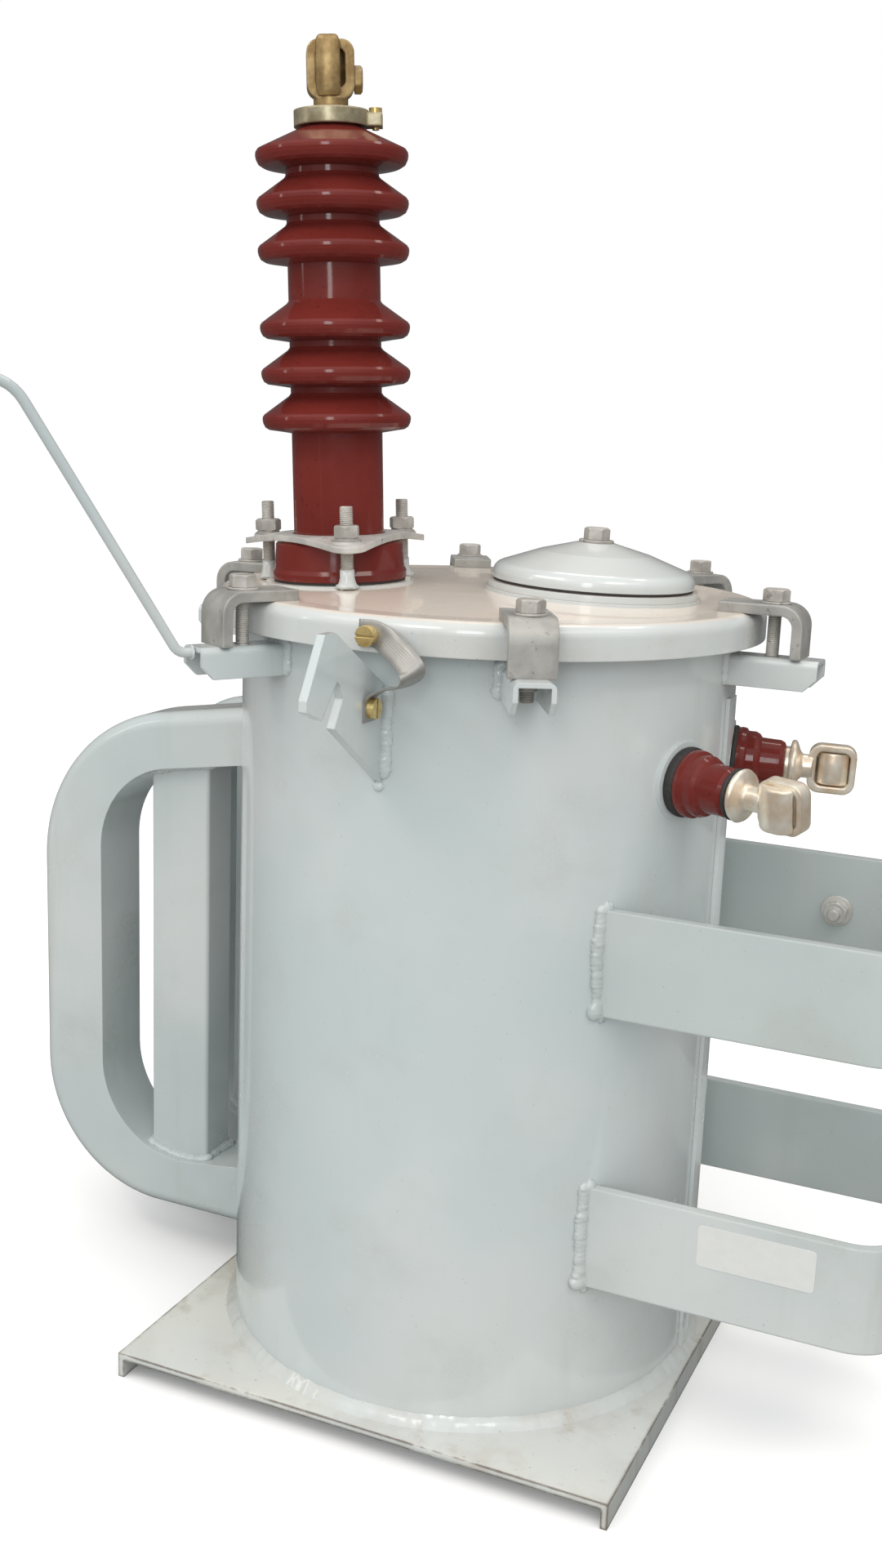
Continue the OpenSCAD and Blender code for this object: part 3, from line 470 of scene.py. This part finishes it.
# each clamp's place round the lid in degrees, and how far it slipped out or in, in mm
CLAMPS = [(0, 2), (60, 3), (118, 0), (180, -4), (240, 0), (299, 0)]
HOOK_PLATE_TOP = LUG_TOP - 0.018
HOOK_PLATE_LOW = HOOK_PLATE_TOP - 0.067
ROD_FOOT = Vector((0.2575, 0, LUG_TOP - 0.004))
ROD_RADIUS = 0.0036
ROD_AT = 240
LUG_BEAD = 0.0047
# weld beads on the two sides of a hook plate and under it: place across the plate and radius
HOOK_SIDE_BEADS = ((-0.0030, 0.0044), (0.0042, 0.0060))
HOOK_FOOT_BEAD = 0.0042
ROD_BEAD = 0.0016
dress(tank_enamel, "lifting_lug_front", "lifting_lug_back", "clamp_lugs", "guard_rod")

lug_welds = bmesh.new()
lug_low = LUG_TOP - LUG_HEIGHT - 0.001
lug_path = [on_wall(-LUG_HALF_WIDTH, lug_low), on_wall(-LUG_HALF_WIDTH, LUG_TOP),
            on_wall(LUG_HALF_WIDTH, LUG_TOP), on_wall(LUG_HALF_WIDTH, lug_low)]
for degrees, _ in CLAMPS:
    weld(lug_welds, turned(lug_path, degrees), outward(degrees), LUG_BEAD, blob=0.2)
for degrees in (-90, 90):
    for y, radius in HOOK_SIDE_BEADS:
        path = [on_wall(y, HOOK_PLATE_TOP), on_wall(y, HOOK_PLATE_LOW + 0.002)]
        weld(lug_welds, turned(path, degrees), outward(degrees), radius, blob=0.15)
    path = [on_wall(-0.004, HOOK_PLATE_LOW - 0.002), on_wall(0.005, HOOK_PLATE_LOW - 0.0025)]
    weld(lug_welds, turned(path, degrees), outward(degrees), HOOK_FOOT_BEAD)
rod_ring = [ROD_FOOT + Vector((0, ROD_RADIUS * c, ROD_RADIUS * s)) for c, s in around(24)]
weld(lug_welds, turned(rod_ring, ROD_AT), outward(ROD_AT), ROD_BEAD, closed=True)
piece("lug_welds", lug_welds, tank_enamel, "enamel_tank")

# Lid and handhole
# A crowned pressed lid with a turned-down skirt lies on a flat rubber gasket. One hexagon bolt
# pulls the domed handhole cover down on its neck from a yoke bar inside.
# its top carries the most dust and painted warm reflection
lid_enamel = enamel("lid_enamel", (0.53, 0.55, 0.54), (0.42, 0.35, 0.28), 0.30, 0.35, dust_and_reflection=0.75)
cover_enamel = enamel("cover_enamel", (0.49, 0.505, 0.495), (0.44, 0.41, 0.36), 0.20, 0.20, dust_and_reflection=0.08)
dress(lid_enamel, "lid", "handhole_neck")
dress(cover_enamel, "handhole_cover")


def black_rubber():
    """Oil-proof gasket sheet, dull, with a fine cut grain."""
    material, make, skin = new_material("black_rubber")
    grain = make.noise(300.0, 4.0)
    make.feed(skin["Base Color"], make.mix(grain, (0.012, 0.012, 0.012, 1), (0.05, 0.048, 0.045, 1)))
    make.feed(skin["Roughness"], make.spread(grain, 0.3, 0.5))
    relief(make, skin, grain, 0.3, 0.0005)
    return material


rubber = black_rubber()
dress(rubber, "lid_gasket", "handhole_gasket", "hv_gasket", "lv_gaskets")


def zinc(name, dark, light, rust, corner):
    """Hot-dip zinc: dull spangle, dark specks and a little brown where it has worn through."""
    material, make, skin = new_material(name)
    normal, edge = edges_of(make, corner)
    spangle = make.noise(150.0, 6.0, 0.62)
    cloud = make.noise(38.0, 4.0, 0.55)
    tone = make.mix(make.step(cloud, 0.36, 0.66), (*dark, 1), (*light, 1))
    speckled = make.mix(make.step(spangle, 0.60, 0.72), tone, (0.20, 0.19, 0.17, 1))
    rusting = make.step(make.noise(70.0, 8.0, 0.7), 0.60, 0.78)
    brown = make.mix(make.math("MULTIPLY", rusting, rust), speckled, (0.16, 0.085, 0.045, 1))
    rubbed = make.math("MULTIPLY", edge, 0.45)
    make.feed(skin["Base Color"], make.mix(rubbed, brown, (0.70, 0.70, 0.68, 1)))
    make.feed(skin["Metallic"], make.math("SUBTRACT", 0.36, make.math("MULTIPLY", rusting, rust)))
    make.feed(skin["Roughness"], make.spread(spangle, 0.30, 0.30))
    relief(make, skin, spangle, 0.35, 0.0008, normal)
    return material


clamp_zinc = zinc("clamp_zinc", (0.31, 0.305, 0.285), (0.43, 0.42, 0.395), 0.20, 0.0022)
casting_zinc = zinc("casting_zinc", (0.50, 0.49, 0.46), (0.66, 0.64, 0.60), 0.12, 0.0018)
bolt_zinc = zinc("bolt_zinc", (0.36, 0.34, 0.31), (0.58, 0.56, 0.52), 0.35, 0.0006)
dress(clamp_zinc, "handhole_bar", "lid_clamps")
dress(casting_zinc, "hv_clamp_plate")

BOLT_FLAT = 0.017
BOLT_RADIUS = 0.005
RING_POINTS = 48


def round_ring(where, radius, z, count=RING_POINTS):
    return [where @ Vector((radius * c, radius * s, z)) for c, s in around(count)]


def hex_ring(where, z, drop=0.0, least=0.0):
    """Ring on a hexagon's flats, lower at its corners where the chamfer has taken them off."""
    ring = []
    for i in range(RING_POINTS):
        a = 2 * math.pi * i / RING_POINTS
        reach = BOLT_FLAT / 2 / math.cos((a % (math.pi / 3)) - math.pi / 6)
        lower = drop * max(0.0, reach - least) / (BOLT_FLAT / math.sqrt(3) - least) if drop else 0.0
        ring.append(where @ Vector((reach * math.cos(a), reach * math.sin(a), z - lower)))
    return ring


def hexagon(mesh, where, low, high, both=False):
    """Bolt head or nut: flats, a turned chamfer and a slightly sunk top."""
    inside = BOLT_FLAT / 2 * 0.95
    rings = [round_ring(where, inside, low)]
    rings.append(hex_ring(where, low, -0.0012, inside) if both else hex_ring(where, low + 0.0003))
    rings += [hex_ring(where, high, 0.0014, inside), round_ring(where, inside, high),
              round_ring(where, inside * 0.86, high - 0.0004)]
    skin_over(mesh, rings, smooth=False)


def washer(mesh, where, radius, low, thick):
    """Stamped disc with its edges broken."""
    high = low + thick
    rings = [round_ring(where, radius - 0.0003, low), round_ring(where, radius, low + 0.0003),
             round_ring(where, radius, high - 0.0003), round_ring(where, radius - 0.0004, high)]
    skin_over(mesh, rings, smooth=False)


def threaded(mesh, where, radius, low, high, pitch=0.0015):
    """Rod with a rolled thread: the ridge climbs one pitch in each turn."""
    sides, rings = around(24), []
    steps = max(2, round((high - low) / pitch * 6))
    for k in range(steps + 1):
        z = low + (high - low) * k / steps
        ends = min(1.0, (min(z - low, high - z) + 0.0004) / 0.0012)
        ring = []
        for j, (c, s) in enumerate(sides):
            phase = (z / pitch - j / len(sides)) % 1.0
            cut = 0.00075 * (1 - abs(2 * phase - 1)) + 0.0007 * (1 - ends)
            ring.append(where @ Vector(((radius - cut) * c, (radius - cut) * s, z)))
        rings.append(ring)
    skin_over(mesh, rings)


def place(x=0.0, y=0.0, z=0.0):
    return Matrix.Translation((x, y, z))


def turn(degrees, axis="Z"):
    return Matrix.Rotation(math.radians(degrees), 4, axis)


LID_FLAT = 0.616
CROWN_HEIGHT = 0.006
CROWN_RADIUS = 2.763333
CROWN_MIDDLE = LID_FLAT + CROWN_HEIGHT - CROWN_RADIUS
HANDHOLE_REACH = 0.081
NECK_HEIGHT = 0.008
COVER_HEIGHT = 0.029


def on_crown(degrees, reach):
    """A frame standing square on the crowned lid."""
    lean = math.degrees(math.asin(reach / CROWN_RADIUS))
    return place(z=CROWN_MIDDLE) @ turn(degrees) @ turn(lean, "Y") @ place(z=CROWN_RADIUS)


hand_top = on_crown(0, HANDHOLE_REACH) @ place(z=NECK_HEIGHT + COVER_HEIGHT)
hand_bolt = bmesh.new()
washer(hand_bolt, hand_top, 0.013, 0.0, 0.002)
hexagon(hand_bolt, hand_top @ turn(11), 0.002, 0.011)
threaded(hand_bolt, hand_top, BOLT_RADIUS, -0.050, 0.003)
piece("handhole_hexagon_bolt", hand_bolt, bolt_zinc, "galvanised_steel", "handhole_bolt")

# Lid clamps
# Six heavy hooks of 32 x 7.5 mm galvanised flat bar. Each is pulled down on the lid's edge by an
# M10 bolt through its lug, with a plain washer under the head and a nut in the channel.
BOLT_CIRCLE = 0.218
CLAMP_TOP = LID_FLAT + 0.0075
random.seed(14)
clamp_bolts = bmesh.new()
for degrees, shift in CLAMPS:
    here = turn(degrees) @ place(BOLT_CIRCLE + shift / 1000)
    spin = turn(random.uniform(0, 60))
    washer(clamp_bolts, here, 0.011, CLAMP_TOP, 0.0015)
    hexagon(clamp_bolts, here @ spin, CLAMP_TOP + 0.0015, CLAMP_TOP + 0.0105)
    threaded(clamp_bolts, here, BOLT_RADIUS, LUG_TOP - LUG_HEIGHT + 0.003, CLAMP_TOP + 0.001)
    # the ribbed nut, up against the channel's inside
    threaded(clamp_bolts, here, BOLT_RADIUS + 0.002, LUG_TOP - 0.0115, LUG_TOP - 0.0035, pitch=0.0040)
piece("lid_clamp_bolts", clamp_bolts, bolt_zinc, "galvanised_steel", "clamp_bolts")

# High voltage bushing
# Brown glazed porcelain with six sheds, pulled down on a rubber ring by a cast clamp plate and
# three studs welded to the lid. A split brass cap and an eye terminal close its top.


def glazed_porcelain():
    """Dark red-brown glaze that pooled unevenly in the kiln, with a few darker flecks."""
    material, make, skin = new_material("brown_porcelain")
    pool = make.noise(20.0, 5.0, 0.6)
    fleck = make.step(make.noise(240.0, 2.0), 0.66, 0.72)
    tone = make.mix(pool, (0.094, 0.012, 0.010, 1), (0.178, 0.028, 0.022, 1))
    flecks = make.math("MULTIPLY", fleck, 0.35)
    make.feed(skin["Base Color"], make.mix(flecks, tone, (0.03, 0.008, 0.006, 1)))
    make.feed(skin["Roughness"], make.spread(pool, 0.10, 0.06))
    relief(make, skin, pool, 0.10, 0.002)
    skin["Specular IOR Level"].default_value = 0.38
    return material


def cast_brass(name, dark, light, rough, corner):
    """Brass as cast or turned: mottled tarnish, a fine sand skin and rubbed, brighter edges."""
    material, make, skin = new_material(name)
    normal, edge = edges_of(make, corner)
    tarnish = make.noise(60.0, 7.0, 0.62)
    sand = make.noise(420.0, 3.0, 0.6)
    tone = make.mix(make.step(tarnish, 0.34, 0.66), (*dark, 1), (*light, 1))
    rubbed = make.math("MULTIPLY", edge, 0.5)
    make.feed(skin["Base Color"], make.mix(rubbed, tone, (0.86, 0.72, 0.48, 1)))
    make.feed(skin["Roughness"], make.spread(tarnish, 0.22, rough))
    grain = make.math("ADD", make.math("MULTIPLY", sand, 0.4), tarnish)
    relief(make, skin, grain, 0.30, 0.0008, normal)
    skin["Metallic"].default_value = 0.70
    return material


porcelain = glazed_porcelain()
dress(porcelain, "hv_bushing", "lv_bushing_1", "lv_bushing_2")
pale_brass = cast_brass("pale_brass", (0.32, 0.275, 0.17), (0.54, 0.48, 0.34), 0.24, 0.0022)
dull_brass = cast_brass("dull_brass", (0.26, 0.165, 0.066), (0.47, 0.335, 0.155), 0.28, 0.0022)
# the low voltage eyes' brass is lightened almost to white: a painted reflection on top of the brass
# colour
red_brass_painted_reflection = cast_brass("red_brass_painted_reflection", (0.88, 0.71, 0.54), (1.0, 0.94, 0.82), 0.20, 0.0022)
bright_brass = cast_brass("bright_brass", (0.58, 0.42, 0.15), (0.84, 0.64, 0.28), 0.12, 0.0006)
dress(dull_brass, "hv_terminal")
dress(pale_brass, "hv_cap")
dress(red_brass_painted_reflection, "lv_terminal_1", "lv_terminal_2")
dress(bright_brass, "hv_cap_screw", "strap_screw_lid", "strap_screw_lug")

BUSHING_AT = 207
BUSHING_REACH = 0.117
STUD_CIRCLE = 0.060
STUD_SEAT = 0.03438
BOSS_HEIGHT = 0.001
# radius and height of the paint that ran up each stud from its weld
PAINT_CONE = ((0.0078, 0.0), (0.0070, 0.0022), (0.0060, 0.0046), (0.0055, 0.0072), (0.0054, 0.0130))
bushing_foot = on_crown(BUSHING_AT, BUSHING_REACH) @ turn(-BUSHING_AT)
studs = bmesh.new()
stud_welds = bmesh.new()
for degrees, spin in ((63, 8), (183, 31), (303, 47)):
    here = bushing_foot @ turn(degrees) @ place(STUD_CIRCLE)
    threaded(studs, here, BOLT_RADIUS, BOSS_HEIGHT, STUD_SEAT + 0.025)
    washer(studs, here, 0.010, STUD_SEAT, 0.0013)
    washer(studs, here, 0.0085, STUD_SEAT + 0.0013, 0.0010)
    hexagon(studs, here @ turn(spin), STUD_SEAT + 0.0023, STUD_SEAT + 0.0115, both=True)
    weld(stud_welds, round_ring(here, 0.0052, BOSS_HEIGHT + 0.0004, 24), UP, 0.0030, closed=True)
    skin_over(stud_welds, [round_ring(here, radius, BOSS_HEIGHT + height, 24)
                           for radius, height in PAINT_CONE])
piece("bushing_studs", studs, bolt_zinc, "galvanised_steel", "hv_studs")
piece("bushing_stud_welds", stud_welds, lid_enamel, "enamel_lid")

HV_EYE_FOOT = 0.339
HV_EYE_LENGTH = 0.0395
HV_EYE_FRONT = -0.007
HV_JAW_EDGES = (-0.0066, 0.0108)
hv_eye = bushing_foot @ place(z=HV_EYE_FOOT) @ turn(30) @ turn(-90, "Y") @ place(0.006)


def cast_block(mesh, low, high, section, soft):
    """One section drawn from low to high, and drawn in at both ends by its casting radius."""
    section = [Vector(point) for point in section]
    middle = sum(section, Vector((0, 0, 0))) / len(section)
    along = (high - low).normalized()
    rounding = ((0.0, 1.0), (0.3, 0.45), (1.0, 0.0))
    spots = [(low + along * soft * step, share) for step, share in rounding]
    spots += [(high - along * soft * step, share) for step, share in rounding[::-1]]
    inwards = [(middle - point).normalized() * soft * 0.6 for point in section]
    skin_over(mesh, [[spot + point + inward * share for point, inward in zip(section, inwards)]
                     for spot, share in spots])


def bowed(start, end, steps, middle, depth, radius):
    """The round face of a jaw: places from start to end, each with its height on an arc."""
    spots = [start + (end - start) * i / steps for i in range(steps + 1)]
    return [(spot, depth - math.sqrt(radius ** 2 - (spot - middle) ** 2)) for spot in spots]


hv_jaw = bmesh.new()
low_edge, high_edge = HV_JAW_EDGES
face = [(0, HV_EYE_FRONT - 0.0003, high_edge), (0, HV_EYE_FRONT - 0.0003, low_edge)]
face += [(0, y, z) for z, y in bowed(low_edge, high_edge, 14, 0.0010, -0.001, 0.014)]
cast_block(hv_jaw, Vector((0.0008, 0, 0)), Vector((HV_EYE_LENGTH + 0.0018, 0, 0)), face, 0.0045)
shank = [(0, y, z) for y, z in ((-0.008, 0.0085), (0.004, 0.0085), (0.004, -0.0103), (-0.002, -0.0103),
                                (-0.002, low_edge), (-0.008, low_edge))]
cast_block(hv_jaw, Vector((0.0074, 0, 0)), Vector((0.0331, 0, 0)), shank, 0.0004)
hexagon(hv_jaw, place(0.0137, 0.002, -0.017) @ turn(180, "Y"), 0.0, 0.006)
hv_jaw.transform(hv_eye)
piece("hv_eye_jaw", hv_jaw, dull_brass, "brass", "hv_jaw")

# Low voltage terminals
# Two short bushings on rubber rings stand out of the wall; cast eyes are screwed on their ends.
# A jaw with a round face is drawn against each eye by its nut to hold the wire.
LV_HEIGHT = 0.500
LV_DROOP = 1.5
LV_EYE_HEIGHT = 0.0365
LV_EYE_THICK = 0.011
# for each bushing: degrees round the tank, rubber ring, twist of the eye and length of its neck
LV_SIDES = [(-20, 0.007, 10, 0.0225), (11, 0.0035, 180, 0.0175)]
# the body of a jaw behind its round face, seen along its edge
LV_SHANK = ((0.0075, -0.001), (0.0265, -0.001), (0.0265, 0.003), (0.0304, 0.003), (0.0290, 0.006),
            (0.0240, 0.0092), (0.0175, 0.0104), (0.0110, 0.0090), (0.0075, 0.0060))
# for each rubber ring: degrees round the tank, distance from the wall, radius and thickness
LV_RINGS = ((-20, 0, 0.0252, 0.007), (11, 0, 0.0252, 0.0035), (-20, 0.043, 0.0182, 0.003))


def lv_frame(degrees):
    """A frame at the wall that looks out along one of the drooping bushings."""
    return turn(degrees) @ place(TANK_RADIUS, 0, LV_HEIGHT) @ turn(LV_DROOP, "Y") @ place(0.001)


for number, (degrees, seat, twist, neck) in enumerate(LV_SIDES, 1):
    jaw = bmesh.new()
    face = [(0.0288, -0.0003, 0), (0.0032, -0.0003, 0)]
    face += [(x, y, 0) for x, y in bowed(0.0032, 0.0288, 16, 0.016, 0.008, 0.017)]
    half = LV_EYE_HEIGHT / 2 - 0.0025
    cast_block(jaw, -half * UP, half * UP, face, 0.0022)
    half = LV_EYE_HEIGHT / 2 - 0.0062
    cast_block(jaw, -half * UP, half * UP, [(x, y, 0) for x, y in LV_SHANK], 0.0006)
    eye_middle = lv_frame(degrees) @ place(seat + 0.036) @ turn(twist, "X")
    jaw.transform(eye_middle @ place(neck, -LV_EYE_THICK / 2))
    piece("lv_eye_jaw_%d" % number, jaw, red_brass_painted_reflection, "brass", "lv_jaw_%d" % number)

lv_rings = bmesh.new()
for degrees, start, radius, thick in LV_RINGS:
    here = lv_frame(degrees) @ place(start) @ turn(90, "Y")
    skin_over(lv_rings, [round_ring(here, r, z * thick) for r, z in (
        (0.0140, 0), (radius - 0.0007, 0), (radius, 0.25), (radius + 0.0002, 0.5), (radius, 0.75),
        (radius - 0.0007, 1), (0.0140, 1))], closed=True)
piece("lv_rubber_rings", lv_rings, rubber, "black_rubber", "lv_gaskets")

# Hoop earth stud
# A galvanised M10 stud through the far arm of the upper hoop, with a nut on either side of the
# bar and a wide washer under the inner one. The pole's earth wire is clamped on it.
earth_stud_frame = place(0.263, 0.1165, 0.370) @ turn(90, "X")
earth_stud = bmesh.new()
washer(earth_stud, earth_stud_frame, 0.0125, 0.0, 0.0025)
hexagon(earth_stud, earth_stud_frame @ turn(20), 0.0025, 0.0105, both=True)
threaded(earth_stud, earth_stud_frame, BOLT_RADIUS, -0.014, 0.018)
hexagon(earth_stud, earth_stud_frame, -0.014, -0.008, both=True)
piece("hoop_earth_stud", earth_stud, casting_zinc, "galvanised_steel", "bracket_stud")

# Earthing strap
# A tinned copper ribbon 18 mm wide from the lid's skirt to the front lifting lug. It is held at
# both ends by slotted brass screws, and its spare length stands out in a loop.
STRAP_THICK = 0.0016
STRAP_WIDTH = 0.018


def tinned_ribbon():
    """Fine woven copper, tinned and gone dull."""
    material, make, skin = new_material("tinned_ribbon")
    weave = make.add("ShaderNodeTexWave", {"Vector": make.where(), "Scale": 240.0, "Distortion": 2.0,
                                           "Detail": 2.0}, bands_direction="DIAGONAL").outputs["Fac"]
    cloud = make.noise(60.0, 5.0)
    make.feed(skin["Base Color"], make.mix(cloud, (0.31, 0.305, 0.285, 1), (0.47, 0.46, 0.435, 1)))
    make.feed(skin["Roughness"], make.spread(cloud, 0.25, 0.32))
    relief(make, skin, weave, 0.12, 0.0003)
    skin["Metallic"].default_value = 0.7
    return material


def curve_through(points, steps):
    """A smooth line through all the points."""
    padded = [2 * points[0] - points[1]] + points + [2 * points[-1] - points[-2]]
    line = []
    for a, b, c, d in zip(padded, padded[1:], padded[2:], padded[3:]):
        for i in range(steps):
            t = i / steps
            line.append(0.5 * (2 * b + (c - a) * t + (2 * a - 5 * b + 4 * c - d) * t * t
                               + (3 * b - a - 3 * c + d) * t ** 3))
    return line + [points[-1]]


ON_SKIRT = -0.209 - STRAP_THICK / 2
ON_LUG = 0.003 + STRAP_THICK / 2
# places along the ribbon, each with the direction in which its width lies there
RIBBON_STATIONS = (
    ((-0.0070, ON_SKIRT, 0.6045), (0, 0, 1)), ((0.0060, ON_SKIRT - 0.0003, 0.6040), (0, 0, 1)),
    ((0.0180, -0.2140, 0.5990), (0.32, 0.36, 0.87)), ((0.0300, -0.2200, 0.5925), (0.45, 0.40, 0.78)),
    ((0.0385, -0.2235, 0.5845), (0.60, 0.46, 0.62)), ((0.0360, -0.2215, 0.5765), (0.50, 0.80, 0.25)),
    ((0.0250, -0.2175, 0.5715), (0.1, 1, -0.05)), ((0.0130, -0.2145, 0.5680), (0, 1, 0)),
    ((ON_LUG + 0.0006, -0.2132, 0.5620), (0, 1, 0)), ((ON_LUG, -0.2130, 0.5540), (0, 1, 0)),
    ((ON_LUG, -0.2130, 0.5465), (0, 1, 0)))
ribbon_line, ribbon_lie = (curve_through([Vector(v) for v in row], 10) for row in zip(*RIBBON_STATIONS))
# places round the ribbon's section, in halves of its width and thickness
RIBBON_SECTION = ((-0.97, -1), (-0.5, -1), (0, -1), (0.5, -1), (0.97, -1), (1, -0.5), (1, 0.5),
                  (0.97, 1), (0.5, 1), (0, 1), (-0.5, 1), (-0.97, 1), (-1, 0.5), (-1, -0.5))
half_width, half_thick = STRAP_WIDTH / 2, STRAP_THICK / 2
ribbon = bmesh.new()
ribbon_rings = []
for i, (point, lie) in enumerate(zip(ribbon_line, ribbon_lie)):
    before, after = ribbon_line[max(i - 1, 0)], ribbon_line[min(i + 1, len(ribbon_line) - 1)]
    along = (after - before).normalized()
    width = (lie - along * lie.dot(along)).normalized()
    thick = along.cross(width)
    ribbon_rings.append([point + width * (u * half_width) + thick * (v * half_thick)
                         for u, v in RIBBON_SECTION])
skin_over(ribbon, ribbon_rings)
piece("earthing_ribbon", ribbon, tinned_ribbon(), "tinned_braid", "ground_strap")

# Label
# A blank white paper label, 83 x 31 mm with rounded corners, stuck on the near arm of the lower
# hoop. It is as thin as paper, and a little thinner at its edges.
LABEL_MIDDLE = (0.2707, 0.1821)
LABEL_HALF = (0.0417, 0.0157)
LABEL_CORNER = 0.003
# size and height over the bar of the label's hidden back, its edge and its face
LABEL_RINGS = ((1, -0.0002), (1, 0.00022), (0.995, 0.0003))


def label_paper():
    """Coated paper, a little uneven in tone and shine."""
    material, make, skin = new_material("label_paper")
    fibre = make.noise(130.0, 6.0, 0.6)
    make.feed(skin["Base Color"], make.mix(fibre, (0.555, 0.565, 0.55, 1), (0.635, 0.645, 0.63, 1)))
    make.feed(skin["Roughness"], make.spread(fibre, 0.2, 0.35))
    return material


label = bmesh.new()
label_x, label_z = LABEL_MIDDLE
label_outline = rounded_oblong(LABEL_HALF, LABEL_CORNER, 5)
skin_over(label, [[Vector((label_x + size * x, -HOOP_HALF_WIDTH - lift, label_z + size * z))
                   for x, z in label_outline] for size, lift in LABEL_RINGS], smooth=False)
piece("blank_label", label, label_paper(), "enamel_tank")

# Floor, light and camera
# A white studio floor and backdrop under large soft lamps; the camera stands where the
# photographer's did.
FLOOR_HALF = 40.0
floor_corners = [(x * FLOOR_HALF, y * FLOOR_HALF, 0) for x, y in ((-1, -1), (1, -1), (1, 1), (-1, 1))]
floor_mesh = bpy.data.meshes.new("floor")
floor_mesh.from_pydata(floor_corners, [], [(0, 1, 2, 3)])
floor = bpy.data.objects.new("floor", floor_mesh)
bpy.context.scene.collection.objects.link(floor)
pale_floor, paint, floor_skin = new_material("pale_floor")
ray = paint.add("ShaderNodeLightPath").outputs
reflected = paint.mix(ray["Is Glossy Ray"], (0.48, 0.48, 0.47, 1), (0.07, 0.07, 0.07, 1))
paint.feed(floor_skin["Base Color"], paint.mix(ray["Is Camera Ray"], reflected, (0.94, 0.94, 0.94, 1)))
floor_skin["Roughness"].default_value = 0.9
floor_mesh.materials.append(pale_floor)

world = bpy.data.worlds.new("studio")
world.use_nodes = True
sky = Shader(world.node_tree)
sky_ray = sky.add("ShaderNodeLightPath").outputs
direction = sky.add("ShaderNodeTexCoord").outputs["Generated"]
BRIGHTEST = (0.12, -0.50, 0.86)
towards = sky.add("ShaderNodeVectorMath", {0: direction, 1: BRIGHTEST}, operation="DOT_PRODUCT")
nearness = towards.outputs["Value"]
glow = sky.add("ShaderNodeMapRange", {"Value": nearness, "From Min": -0.4, "From Max": 1.0,
                                      "To Min": 0.40, "To Max": 1.50}).outputs[0]
mirrored = sky.add("ShaderNodeMapRange", {"Value": nearness, "From Min": 0.2, "From Max": 1.0,
                                          "To Min": 0.12, "To Max": 0.85}).outputs[0]
not_glossy = sky.math("SUBTRACT", 1.0, sky_ray["Is Glossy Ray"])
shone = sky.math("ADD", sky.math("MULTIPLY", sky_ray["Is Glossy Ray"], mirrored),
                 sky.math("MULTIPLY", not_glossy, glow))
unseen = sky.math("MULTIPLY", sky.math("SUBTRACT", 1.0, sky_ray["Is Camera Ray"]), shone)
strength = sky.math("ADD", sky_ray["Is Camera Ray"], unseen)
sky.feed(sky.nodes["Background"].inputs["Strength"], strength)
sky.nodes["Background"].inputs["Color"].default_value = (1, 1, 1, 1)
bpy.context.scene.world = world
bpy.context.scene.view_settings.view_transform = "Standard"

TANK_MIDDLE = Vector((0.0, 0.0, 0.4))


def lamp(name, spot, size, power, colour):
    """A soft oblong lamp that looks at the middle of the tank."""
    data = bpy.data.lights.new(name, "AREA")
    data.shape = "RECTANGLE"
    data.size, data.size_y = size
    data.energy = power
    data.color = colour
    thing = bpy.data.objects.new(name, data)
    thing.location = spot
    thing.rotation_euler = (TANK_MIDDLE - Vector(spot)).to_track_quat("-Z", "Y").to_euler()
    bpy.context.scene.collection.objects.link(thing)


lamp("overhead_front", (-1.0, -1.6, 2.6), (2.2, 0.30), 14, (1.0, 0.94, 0.87))
lamp("overhead_side", (1.6, -0.9, 2.6), (2.2, 0.30), 11, (1.0, 0.94, 0.87))
lamp("overhead_back", (0.2, 1.1, 2.8), (2.2, 0.30), 8, (1.0, 0.94, 0.87))
lamp("window", (0.75, -2.9, 1.5), (0.55, 1.3), 14, (0.96, 0.99, 1.0))
lamp("left", (-2.4, -1.6, 1.5), (0.20, 1.2), 3, (1.0, 0.98, 0.95))

CAMERA_PLACE = Vector((0.4835, -1.1755, 0.7474))
CAMERA_RIGHT = Vector((0.91041, 0.41207, 0.03675))
CAMERA_UP = Vector((-0.12322, 0.18529, 0.97493))
SENSOR_LONG_SIDE = 36.0
FOCAL_SHARE = 2018.2 / 1920
eye = bpy.data.cameras.new("camera")
eye.sensor_width = SENSOR_LONG_SIDE
eye.lens = SENSOR_LONG_SIDE * FOCAL_SHARE
camera = bpy.data.objects.new("camera", eye)
back = CAMERA_RIGHT.cross(CAMERA_UP)
camera.matrix_world = Matrix((
    (CAMERA_RIGHT.x, CAMERA_UP.x, back.x, CAMERA_PLACE.x),
    (CAMERA_RIGHT.y, CAMERA_UP.y, back.y, CAMERA_PLACE.y),
    (CAMERA_RIGHT.z, CAMERA_UP.z, back.z, CAMERA_PLACE.z),
    (0, 0, 0, 1)))
bpy.context.scene.collection.objects.link(camera)
bpy.context.scene.camera = camera
